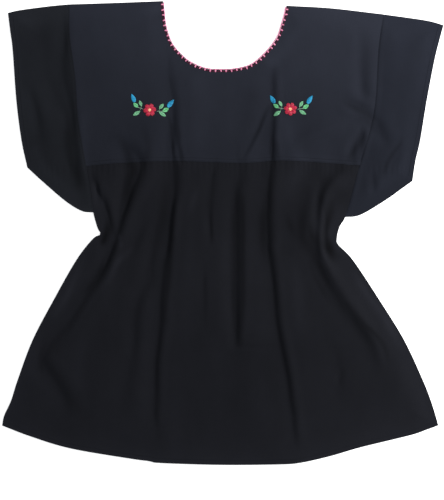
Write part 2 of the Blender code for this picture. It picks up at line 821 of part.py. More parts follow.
def yoke():
    cloth = Cloth()
    back = cloth.add_rows(yoke_rows(0), upper_points)
    front_rows = yoke_rows(NECK_FRONT_EXTRA)
    front = cloth.add_rows([front_rows[k] for k in YOKE_FRONT_ROWS], lower_points)
    high = yoke_columns()[1]
    for shoulder in (np.flatnonzero(high <= 0), np.flatnonzero(high >= 1)):
        edge = [cloth.outer[back[0][k]][:2] for k in shoulder]
        cloth.fold_over([back[0][k] for k in shoulder], [front[0][k] for k in shoulder], outward_of(edge))
    return cloth


def sleeve(side, armhole, body_side, body_count, top, cuff, underarm):
    """A sleeve, folded along its top. Side is -1 for the left and 1 for the right."""
    seam = along(smooth_curve(armhole), YOKE_ROWS)
    seam = np.vstack([seam, down(smooth_curve(body_side), BODY_ROWS[1:body_count])])
    drop = np.linalg.norm(np.diff(seam, axis=0), axis=1)
    levels = np.concatenate([[0], np.cumsum(drop)]) / drop.sum()
    outer = along(smooth_curve(cuff), levels)
    rows = patch(
        seam,
        outer,
        along(smooth_curve(top), SLEEVE_SHARES),
        along(smooth_curve(underarm), SLEEVE_SHARES),
        SLEEVE_SHARES,
    )
    for row in rows:
        row[0, 0] += side * SEAM_INSET
    if side < 0:
        rows = [row[::-1] for row in rows]
    cloth = Cloth()
    back = cloth.add_rows(rows, upper_points)
    picks = [*YOKE_FRONT_ROWS, *range(len(YOKE_ROWS) + 1, len(rows))]
    picks = [k for k in picks if k - len(YOKE_ROWS) + 1 not in (1, 3)]
    front = cloth.add_rows([rows[k] for k in picks], lower_points)
    cloth.fold_over(back[0], front[0], outward_of(rows[0]))
    return cloth


def surface_of(*cloths):
    """Height of the cloths' outer faces, as a function of plan x and y."""
    points, faces = [], []
    for cloth in cloths:
        shift = len(points)
        points += cloth.outer
        faces += [tuple(k + shift for k in face) for face in cloth.triangles()]
    tree = BVHTree.FromPolygons(points, faces)

    def height(x, y):
        hit = tree.ray_cast(Vector((x, y, 1.0)), Vector((0, 0, -1)))[0]
        return hit.z

    return height


def shell(name, plan, faces, height, lift, rise, material):
    """A low raised shape over plan points, its underside that far above a surface."""
    near = ((0, 0), (THREAD_REACH, 0), (-THREAD_REACH, 0), (0, THREAD_REACH), (0, -THREAD_REACH))
    low = [(x, y, max(height(x + a, y + b) for a, b in near) + lift) for x, y in plan]
    high = [(x, y, z + rise) for x, y, z in low]
    count = len(low)
    whole = [tuple(face) for face in faces] + [tuple(k + count for k in face[::-1]) for face in faces]
    uses = {}
    for face in faces:
        for a, b in zip(face, list(face[1:]) + [face[0]]):
            key = frozenset((a, b))
            uses[key] = None if key in uses else (a, b)
    whole += [(b, a, a + count, b + count) for a, b in filter(None, uses.values())]
    return solid(name, low + high, whole, material)


def flower_plan(flower, radius, dip, petals, steps):
    """(points, faces) of a flower's outline filled from its centre, with one ring between."""
    count = petals * steps
    points = [(flower.x, flower.y)]
    for ring in (0.52, 1.0):
        for k in range(count):
            angle = 2 * math.pi * k / count + flower.turn + math.pi / 2
            wave = abs(math.sin(petals * (angle - flower.turn - math.pi / 2) / 2 + math.pi / 2))
            reach = radius * ring * (1 - dip * ring * (1 - wave**0.75))
            points.append((flower.x + reach * math.cos(angle), flower.y + reach * math.sin(angle)))
    faces = []
    for k in range(count):
        after = (k + 1) % count
        faces.append((0, 1 + k, 1 + after))
        faces.append((1 + k, 1 + count + k, 1 + count + after, 1 + after))
    return points, faces


def leaf_outline(leaf, start=0.0):
    """Outline of a pointed leaf, cut square at that share of its length if start isn't 0."""
    base, tip = np.array(leaf.base), np.array(leaf.tip)
    run = tip - base
    out = np.array([-run[1], run[0]]) / np.linalg.norm(run)
    shares = np.linspace(start, 1, LEAF_STEPS + 1)
    widths = leaf.half_width * np.sin(math.pi * shares**0.85) ** 0.8
    one = [base + run * s + out * w for s, w in zip(shares, widths)]
    other = [base + run * s - out * w for s, w in zip(shares, widths)]
    first = 0 if start > 0 else 1
    return one + other[first:-1][::-1]


def strip_outline(line):
    """Outline of a narrow strip along a line."""
    side = outward_of(line) * STEM_HALF_WIDTH
    return [*(np.array(line) + side), *(np.array(line) - side)[::-1]]


def placed(points, flower, sprig, low=False):
    """Plan points of a sprig's part, which may be its lower leaf's, in the blouse's frame."""
    towards = -1 if (flower.name == "left") == (sprig.side == "outer") else 1
    turn, stretch = (sprig.low_turn, sprig.low_stretch) if low else (sprig.turn, sprig.stretch)
    cos, sin = math.cos(turn) * stretch, math.sin(turn) * stretch
    return [(flower.x + towards * (x * cos - y * sin), flower.y + x * sin + y * cos) for x, y in points]


def filled(outlines):
    """(points, faces) of the plan area inside any of these outlines."""
    flat, rings = [], []
    for outline in outlines:
        rings.append(list(range(len(flat), len(flat) + len(outline))))
        flat += [Vector(point) for point in outline]
    points, _, faces, *_ = geometry.delaunay_2d_cdt(flat, [], rings, 1, 1e-6, False)
    return [tuple(point) for point in points], [tuple(face) for face in faces]


def embroidery(height):
    for flower in FLOWERS:
        plan, faces = flower_plan(flower, FLOWER_RADIUS, PETAL_DIP, flower.petals, PETAL_STEPS)
        shell(f"flower_{flower.name}", plan, faces, height, THREAD_LIFT, THREAD_RISE, "red_thread")
        angles = 2 * math.pi * np.arange(FLOWER_CENTRE_SIDES) / FLOWER_CENTRE_SIDES
        rim = [
            (flower.x + FLOWER_CENTRE_RADIUS * math.cos(a), flower.y + FLOWER_CENTRE_RADIUS * math.sin(a))
            for a in angles
        ]
        disc = [tuple(range(FLOWER_CENTRE_SIDES))]
        lift = THREAD_LIFT + THREAD_RISE + CLEARANCE
        shell(f"flower_centre_{flower.name}", rim, disc, height, lift, THREAD_RISE * 0.7, "yellow_thread")
    for sprig in SPRIGS:
        flower = next(flower for flower in FLOWERS if flower.name == sprig.flower)
        upper = (strip_outline(STEM), strip_outline(UPPER_STALK), leaf_outline(UPPER_LEAF), leaf_outline(CALYX))
        lower_stalk = placed([LOWER_STALK_TOP], flower, sprig) + placed([LOWER_STALK_END], flower, sprig, low=True)
        outlines = [placed(outline, flower, sprig) for outline in upper]
        outlines.append(strip_outline(np.array(lower_stalk)))
        outlines.append(placed(leaf_outline(LOWER_LEAF), flower, sprig, low=True))
        name = f"{sprig.flower}_{sprig.side}"
        plan, faces = filled(outlines)
        shell(f"sprig_{name}", plan, faces, height, THREAD_LIFT, THREAD_RISE, "green_thread")
        plan, faces = filled([placed(leaf_outline(BUD, BUD_CUT), flower, sprig)])
        shell(f"bud_{name}", plan, faces, height, THREAD_LIFT, THREAD_RISE, "blue_thread")


def neck_edge(neck_extra):
    """The yoke's neck edge as it is built, from the left shoulder to the right."""
    high = yoke_columns()[1]
    return yoke_rows(neck_extra)[0][(high > -1e-9) & (high < 1 + 1e-9)]


def edging_back(height):
    """The band round the back neck, with a row of stitches that reach out over the cloth."""
    count = 2 * EDGING_STITCHES + 1
    edge = along(neck_edge(0), np.linspace(0.004, 0.996, count + 1))
    into = outward_of(edge)
    points, faces = [], []
    for (x, y), (a, b) in zip(edge, into):
        low = float(lay(x, y))
        top = low + float(wall_height(x, y))
        near = (x + a * CLEARANCE, y + b * CLEARANCE)
        far = (x + a * EDGING_WIDTH, y + b * EDGING_WIDTH)
        points += [
            (*far, low),
            (*far, top + THREAD_LIFT + STITCH_HEIGHT),
            (*near, top + THREAD_LIFT + STITCH_HEIGHT),
            (*near, top + THREAD_LIFT),
            (*near, low),
        ]
    for k in range(count):
        here, there = 5 * k, 5 * (k + 1)
        for side in range(5):
            if side == 2 and k % 2:
                continue
            after = (side + 1) % 5
            faces.append((here + side, here + after, there + after, there + side))
    faces += [tuple(range(5)), tuple(range(5 * count, 5 * count + 5))[::-1]]
    for k in range(1, count, 2):
        middle = (edge[k] + edge[k + 1]) / 2
        lean = math.radians(9) * math.sin(k * 1.7)
        out = -(into[k] + into[k + 1]) / 2
        out = np.array(
            [out[0] * math.cos(lean) - out[1] * math.sin(lean), out[0] * math.sin(lean) + out[1] * math.cos(lean)]
        )
        across = (edge[k + 1] - edge[k]) / np.linalg.norm(edge[k + 1] - edge[k])
        length = STITCH_LENGTH * (1 + 0.10 * math.sin(k * 2.3))
        ends = [middle + out * length - across * STITCH_WIDTH / 2, middle + out * length + across * STITCH_WIDTH / 2]
        first = len(points)
        for x, y in ends:
            low = height(x, y) + THREAD_LIFT
            points += [(x, y, low + STITCH_HEIGHT), (x, y, low)]
        top_here, low_here = 5 * k + 2, 5 * k + 3
        top_there, low_there = 5 * (k + 1) + 2, 5 * (k + 1) + 3
        faces += [
            (top_here, first, first + 2, top_there),
            (low_there, first + 3, first + 1, low_here),
            (first, first + 1, first + 3, first + 2),
            (top_here, low_here, first + 1, first),
            (top_there, first + 2, first + 3, low_there),
        ]
    return solid("neck_edging_back", points, faces, "pink_thread")


def edging_front():
    """The plain band round the front neck, under the back."""
    edge = along(neck_edge(NECK_FRONT_EXTRA), np.linspace(0.01, 0.99, 49))
    into = outward_of(edge)
    points, faces = [], []
    for (x, y), (a, b) in zip(edge, into):
        near = (x + a * CLEARANCE, y + b * CLEARANCE)
        far = (x + a * EDGING_WIDTH, y + b * EDGING_WIDTH)
        points += [(*far, EDGING_LIFT), (*far, CLOTH), (*near, CLOTH), (*near, EDGING_LIFT)]
    last = len(edge) - 1
    for k in range(last):
        for side in range(4):
            after = (side + 1) % 4
            faces.append((4 * k + side, 4 * k + after, 4 * k + 4 + after, 4 * k + 4 + side))
    faces += [tuple(range(4)), tuple(range(4 * last, 4 * last + 4))[::-1]]
    return solid("neck_edging_front", points, faces, "pink_thread")


def main():
    clear_scene()
    rows = body_rows()
    body_back(rows).build("body_back", "body_cloth")
    body_front(rows).build("body_front", "body_cloth")
    yoke_cloth = yoke()
    yoke_cloth.build("yoke", "yoke_cloth")
    sleeve(
        -1, ARMHOLE_LEFT, SIDE_LEFT, LEFT_SLEEVE_ROWS, SLEEVE_TOP_LEFT, CUFF_LEFT, UNDERARM_LEFT
    ).build("sleeve_left", "yoke_cloth")
    sleeve(
        1, ARMHOLE_RIGHT, SIDE_RIGHT, RIGHT_SLEEVE_ROWS, SLEEVE_TOP_RIGHT, CUFF_RIGHT, UNDERARM_RIGHT
    ).build("sleeve_right", "yoke_cloth")
    height = surface_of(yoke_cloth)
    edging_back(height)
    edging_front()
    embroidery(height)


main()
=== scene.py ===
"""Looks of the embroidered peasant blouse, which lies flat with its back up.

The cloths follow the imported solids: the front lies flat, and the back lies on it with its folds standing
up. Seams, hems, embroidery and the crocheted neck edging are made as real threads.
"""

import math
from collections import namedtuple
from functools import lru_cache

import bpy
import numpy as np
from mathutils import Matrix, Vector, noise


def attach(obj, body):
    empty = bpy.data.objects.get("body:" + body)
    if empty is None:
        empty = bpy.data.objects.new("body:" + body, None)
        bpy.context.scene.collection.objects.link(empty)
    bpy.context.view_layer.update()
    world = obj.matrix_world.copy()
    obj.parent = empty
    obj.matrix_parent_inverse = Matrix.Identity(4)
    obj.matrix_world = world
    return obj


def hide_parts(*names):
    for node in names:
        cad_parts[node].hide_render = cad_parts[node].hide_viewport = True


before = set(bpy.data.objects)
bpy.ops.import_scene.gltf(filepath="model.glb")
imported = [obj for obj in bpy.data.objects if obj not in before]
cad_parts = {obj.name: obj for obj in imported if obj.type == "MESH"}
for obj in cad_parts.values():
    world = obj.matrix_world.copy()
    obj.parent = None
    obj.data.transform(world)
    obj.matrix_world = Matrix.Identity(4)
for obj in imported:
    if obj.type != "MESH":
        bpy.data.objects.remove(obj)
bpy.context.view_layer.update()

# Cloth: how thick it looks, and how it lies within the solids
SOLID_CLOTH = 0.0012
CLEARANCE = 0.0003
UPPER_LAY = SOLID_CLOTH + CLEARANCE
CLOTH = 0.0008
SEAM_GAP = 0.00008

# How far the upper layer rises off the lower one away from every edge. The yoke's loft goes over into the
# body's downwards from a line just above the yoke seam.
YOKE_LOFT = 0.0038
BODY_LOFT = 0.0052
LOFT_RUN = 0.022
LOFT_BLEND_Y = 0.116
LOFT_BLEND = 0.060
SOFT_FLOOR = 0.0004

# The middle of the finished blouse in the frame of the tables below, which becomes the origin
MIDDLE = (0.0012, 0.0001, 0.0)


def cut(*points):
    """Points of a cut edge, given in millimetres, in metres."""
    return np.array(points) / 1000


# Neck: a rounded scoop in the back, and the front's, which is cut that much deeper
NECK_BACK = cut(
    (-89.3, 350), (-87.6, 329.3), (-85.4, 314), (-81.1, 298.7), (-74, 283.3), (-59.9, 268),
    (-48.5, 258.7), (-25.5, 248.9), (-2.5, 247), (20.5, 248.2), (43.6, 254.3), (61, 267.9), (75, 283.2),
    (84.9, 298.6), (89.9, 313.9), (94.4, 329.2), (97.3, 343),
)
NECK_FRONT_EXTRA = 0.028

# Edges of the cut pieces, as points that a smooth curve runs through
SHOULDER_LEFT = cut((-231, 345), (-169, 347), (-89.3, 350))
SHOULDER_RIGHT = cut((97.3, 343), (164.2, 339.2), (244.2, 329.9))
SLEEVE_TOP_LEFT = cut((-231, 345), (-260, 342.3), (-305.5, 336.3), (-324, 332))
SLEEVE_TOP_RIGHT = cut((244.2, 329.9), (308.1, 320.7), (334.8, 313.6))
CUFF_LEFT = cut(
    (-324, 332), (-320.9, 306.7), (-317, 276.4), (-311.5, 200.7), (-303.7, 140.1), (-294.8, 99),
)
CUFF_RIGHT = cut(
    (334.8, 313.6), (328.9, 291.6), (321.4, 261.3), (309.8, 200.7), (299.8, 140.1), (292.8, 109.8),
    (288, 78.6),
)
UNDERARM_LEFT = cut((-195.3, 31.8), (-212.9, 34), (-237.9, 49.2), (-273.5, 79.5), (-294.8, 99))
UNDERARM_RIGHT = cut((186.3, 24.2), (209.6, 27.4), (246.7, 49.2), (268.1, 64.3), (288, 78.6))
ARMHOLE_LEFT = cut((-231, 345), (-230.5, 299), (-222, 235), (-217.4, 171), (-205.3, 100.8))
ARMHOLE_RIGHT = cut((244.2, 329.9), (236.7, 277.9), (232.4, 203), (225, 160), (207.7, 102))
SIDE_LEFT = cut(
    (-205.3, 100.8), (-199, 65), (-195.3, 31.8), (-188.7, 7.5), (-183.8, -2), (-195, -8), (-220.8, -41),
    (-255.6, -102.3), (-287.3, -162.9), (-309.9, -223.5), (-319.6, -253.8), (-330, -276.5),
    (-333, -291.5),
)
SIDE_RIGHT = cut(
    (207.7, 102), (199, 69.7), (186.3, 24.2), (178.6, 11.3), (174.3, -3), (173.3, -11.4), (176.9, -19),
    (198.6, -41.7), (238.7, -102.3), (276, -162.9), (304.2, -223.5), (315.8, -253.1), (323.2, -276.5),
    (327.2, -291.2),
)
YOKE_SEAM = cut(
    (-205.3, 100.8), (-153.8, 105.6), (-70.5, 108.5), (28, 105.6), (96.2, 109.3), (207.7, 102),
)
HEM = cut(
    (-333, -291.5), (-290.3, -307.8), (-229.7, -326.1), (-138.8, -341.6), (-109.5, -345.4),
    (-93.4, -348.2), (-2.5, -351), (85.4, -350.3), (118.7, -347.8), (164.2, -337.6), (209.6, -324.4),
    (285.4, -305.9), (308.1, -298.2), (327.2, -291.2),
)

# Folds of the upper layer, in millimetres. A reach is how wide the fold is on its left and right, seen along
# the route, and a lip is the swell beside it, as a share of the depth. A route's columns are x, y, depth,
# and how many times the reach it spreads there; a negative depth is a ridge.
Fold = namedtuple("Fold", "name reach_left reach_right lip_left lip_right route")
FOLDS = (
    Fold("centre_left", 6.5, 18, 0.25, 0, (
        (-85, 285, 0, 1), (-83.6, 262, 1, 1), (-82, 231.8, 2, 1), (-76.5, 201.5, 2.8, 0.9),
        (-76, 171.2, 3.8, 0.9), (-77.5, 140.9, 4.4, 0.9), (-77.5, 122.7, 4.4, 0.9),
        (-76.5, 102.9, 4.2, 1.2), (-74.8, 65.1, 4.4, 1.1), (-77, 42.4, 5, 0.8), (-80, 19.7, 5.4, 0.8),
        (-82, -3.1, 5.4, 0.8), (-85.1, -25.8, 5.2, 0.9), (-90.5, -48.5, 4.8, 1.1),
        (-93, -71.3, 4.7, 1.1), (-95.5, -101.6, 4.6, 1), (-96.2, -131.9, 4.7, 1),
        (-98.7, -162.2, 4.8, 0.9), (-102.5, -192.5, 4.4, 0.9), (-103.3, -222.8, 4.4, 0.9),
        (-103.5, -253.1, 3.6, 0.9), (-104, -275.8, 3, 0.8), (-101, -298.5, 1, 0.8), (-99, -320, 0, 0.8),
    )),
    Fold("centre_right", 6.5, 20, 0.3, 0, (
        (76, 255, 0, 0.8), (74.2, 231.8, 2.4, 0.8), (74.5, 201.5, 2.8, 0.8), (74.2, 171.2, 3.6, 0.8),
        (72.7, 140.9, 4.8, 0.8), (72.5, 122.7, 5, 0.9), (69.7, 102.9, 5, 1.1), (66.8, 65.1, 5, 1),
        (66.2, 42.4, 5, 1), (65.2, 19.7, 5.2, 1.1), (66, -3.1, 5.4, 1.1), (67, -25.8, 5.4, 1),
        (70.5, -48.5, 5, 1), (74, -71.3, 5, 0.9), (76.8, -101.6, 5, 0.9), (79.2, -131.9, 4.8, 0.9),
        (84.6, -162.2, 4.8, 0.9), (90.6, -192.5, 4.8, 0.9), (96.3, -222.8, 4.8, 0.9),
        (100, -253.1, 4.5, 0.9), (103.7, -275.8, 4, 0.9), (106, -298.5, 3.2, 0.8),
        (109, -321.2, 1, 0.8), (111, -332, 0, 0.8),
    )),
    Fold("side_left", 8, 13, 0.35, 0.1, (
        (-151, 148, 0, 1.5), (-143, 126, 4, 1.5), (-133, 104.7, 7.8, 1.5), (-134.5, 89.3, 8.2, 1.3),
        (-142, 67.6, 7.8, 1.1), (-148, 44.4, 7, 0.9), (-155, 21.5, 5.6, 0.8), (-161.2, -1.7, 4.6, 0.7),
        (-168.8, -24.4, 5, 0.7), (-178.5, -46.3, 5.8, 0.8), (-191.9, -68.3, 6, 1.1),
        (-213, -96.9, 6, 1.4), (-233, -127.2, 6, 1.4), (-258, -157.1, 4.6, 1.5), (-274, -180, 4.6, 1.4),
        (-275, -198, 4.6, 1.4), (-254.6, -227.2, 4.4, 1.3), (-238.3, -257.8, 3.4, 1.4),
        (-230, -283, 0, 1.4),
    )),
    Fold("centre", 8.8, 14, 0.2, 0.05, (
        (25, 106, 1.6, 1), (24.5, 87.8, 2.6, 1), (18.5, 65.1, 4.6, 1), (17.6, 42.4, 5.6, 1),
        (17.6, 19.7, 6, 1), (17.6, -25.8, 6.2, 1), (17.6, -71.3, 6, 1), (18, -101.6, 6, 0.9),
        (18.8, -131.9, 5.8, 0.8), (19.2, -162.2, 4, 0.7), (19.5, -177, 0, 0.7),
    )),
    Fold("side_right_ridge", 10, 8.5, 0.1, 0.2, (
        (203, 102, 0, 1), (181, 87.8, -4.4, 1), (160, 65.1, -5.6, 0.9), (153, 42.4, -5.2, 0.8),
        (150, 19.7, -4.8, 0.8), (148.6, -3.1, -6.2, 0.8), (151.5, -25.8, -6.4, 0.9),
        (158, -48.5, -6.4, 1), (170, -71.3, -6.2, 1.1), (189.5, -101.6, -6, 1.2),
        (210.4, -131.9, -5.6, 1.1), (230, -162.2, -4, 1), (240, -192.5, -2, 1), (245, -215, 0, 1),
    )),
    Fold("waist_left", 5.5, 9, 0.3, 0.1, (
        (-199, 95, 0, 1), (-196.5, 82, 2, 1), (-190.5, 65.1, 3.4, 1), (-180, 42.4, 3.8, 1.1),
        (-173.8, 19.7, 4.4, 1), (-174.5, -3.1, 4.6, 1), (-184, -23, 1.4, 1), (-190, -32, 0, 1),
    )),
    Fold("between_left", 9, 13, 0.15, 0.15, (
        (-95, 42.4, 0, 1), (-104, -13, 2.2, 0.8), (-111, -48.5, 3.6, 0.8), (-114.5, -71.3, 4, 1),
        (-129, -101.6, 4, 1), (-135, -131.9, 3.8, 1.1), (-135, -162.2, 4, 1),
        (-141.4, -192.5, 3.6, 1.3), (-147.5, -222.8, 3.4, 1.4), (-153, -253.1, 2.6, 1.4),
        (-159, -290, 0, 1.4),
    )),
    Fold("sleeve_left", 8.5, 16, 0.2, 0.1, (
        (-237, 336, 0, 0.7), (-240, 292.3, 3.2, 0.8), (-244, 262, 3.6, 1), (-242, 231.8, 3.6, 1),
        (-235, 201.5, 3.4, 1), (-230, 171.2, 4.2, 1), (-232, 140.9, 4.6, 1.3), (-229, 122.7, 4.8, 1.3),
        (-224, 98, 4, 1), (-215, 68, 0, 0.8),
    )),
    Fold("sleeve_right", 8, 10, 0.2, 0.1, (
        (270.4, 145, 0, 1), (261.3, 113.6, 2.6, 1), (250.7, 85, 0, 1),
    )),
)

# Smaller creases of the upper layer, which the solids leave out
CREASES = (
    Fold("centre_left_thin", 4.5, 8, 0.15, 0.05, (
        (-10.8, 104, 0.8, 1), (-15.5, 87.8, 1.8, 1), (-18.5, 65.1, 1.8, 1.2), (-20.5, 42.4, 1.8, 1.2),
        (-19.8, 19.7, 2.2, 0.8), (-18.6, -3.1, 2, 0.8), (-18.6, -20, 0, 0.8),
    )),
    Fold("centre_left_faint", 3.5, 8, 0.2, 0.1, (
        (-27, -40, 0, 1), (-28.5, -71.3, 1, 1), (-28, -101.6, 1, 1), (-27.5, -160, 0, 1),
    )),
    Fold("yoke_left_split", 3, 4, 0.3, 0.1, (
        (-62, 106, 0.8, 1), (-66, 122.7, 1.8, 1), (-70, 140.9, 1.2, 1), (-71, 160, 0, 1),
    )),
    Fold("yoke_diagonal", 3, 11, 0.3, 0.1, (
        (68, 186, 0, 1), (59, 169, 1.5, 1), (45.5, 140.9, 1.7, 1), (35.5, 122.7, 1.6, 1),
        (30, 112, 0, 1),
    )),
    Fold("yoke_right_swell", 10, 8, 0.2, 0.2, (
        (95, 123, 0, 1), (120, 139, -2.6, 1), (150, 153, -3.2, 1), (190, 162, 0, 1),
    )),
    Fold("yoke_right_dent", 6, 7, 0.3, 0.4, (
        (178, 204, 0, 1), (198, 195, 2.8, 1), (218, 186, 2.6, 1), (227, 181, 0, 1),
    )),
    Fold("yoke_right_upright", 8, 9, 0.45, 0.1, (
        (206, 320, 0, 1), (209, 290, 1.4, 1), (209, 250, 2.6, 1), (211, 215, 3.2, 1), (215, 195, 0, 1),
    )),
    Fold("yoke_right_corner", 5.5, 6, 0.7, 0.2, (
        (215, 160, 0, 1), (206, 143, 3, 1), (197, 125, 3.6, 1), (195, 106, 1.6, 1),
    )),
    Fold("yoke_right_corner_upright", 3.5, 4, 0.5, 0.2, (
        (212, 164, 0, 1), (211, 145, 1.8, 1), (208, 120, 1.8, 1), (204, 106, 0, 1),
    )),
    Fold("sleeve_right_upper", 8, 9, 0.25, 0.2, (
        (223, 190, 0, 1), (236, 160, 2.6, 1), (244, 140.9, 2.2, 1), (252, 125, 0, 1),
    )),
    Fold("sleeve_right_upright", 4.5, 5, 0.3, 0.3, (
        (227, 96, 0, 1), (228, 75, 1.8, 1), (229, 55, 0, 1),
    )),
    Fold("sleeve_left_outer", 7, 10, 0.2, 0.1, (
        (-295, 225, 0, 1), (-288, 201.5, 2, 1), (-281, 176, 2.4, 1), (-276, 145, 1.8, 1.2),
        (-274, 125, 0, 1.2),
    )),
    Fold("sleeve_left_middle", 11, 15, 0.2, 0.1, (
        (-276, 330, 0, 1), (-274, 295, 1.6, 1.2), (-270, 245, 2.2, 1.2), (-256, 201.5, 2.4, 1),
        (-248, 175, 0, 1),
    )),
    Fold("underarm_left_one", 3, 3.5, 0.4, 0.3, (
        (-191, 80, 0, 1), (-189, 60, 1.6, 1), (-186, 40, 0, 1),
    )),
    Fold("underarm_left_two", 4, 4, 0.3, 0.3, (
        (-164, 3, 0, 1), (-176, -4, 1.8, 1), (-185, -7, 0, 1),
    )),
    Fold("left_pool", 7, 10, 0.2, 0.2, (
        (-113, 30, 0, 1), (-123, 6, 2, 1), (-132, -15, 2.2, 1), (-143, -40, 0, 1),
    )),
    Fold("storage_crease", 3, 3.4, 0.3, 0.5, (
        (-5, -169, 0, 1), (25, -171.5, 0.7, 1), (60, -172.5, 0.8, 1), (90, -171, 0, 1),
    )),
    Fold("low_right_soft", 9, 12, 0.2, 0.2, (
        (156, -150, 0, 1), (170, -190, 1.4, 1), (174, -222.8, 1.6, 1), (174, -270, 0, 1),
    )),
    Fold("low_right_crinkle", 4, 4, 0.3, 0.3, (
        (184, -205, 0, 1), (177, -217, 1.3, 1), (174, -233, 0, 1),
    )),
    Fold("inner_right_ridge", 5.5, 12, 0.2, 0.1, (
        (144, 80, 0, 1), (138, 60, -2.6, 0.8), (135, 42.4, -3.4, 0.9), (133, 19.7, -3.8, 1),
        (135, -3.1, -3, 1.2), (140, -30, 0, 1.2),
    )),
    Fold("beside_right_ridge", 3.6, 3.6, 0.3, 0.1, (
        (153, 48, 0, 1), (155.5, 19.7, 2.2, 1), (154.8, -3.1, 3, 1), (156, -25.8, 2.8, 1),
        (162, -45, 0, 1),
    )),
)

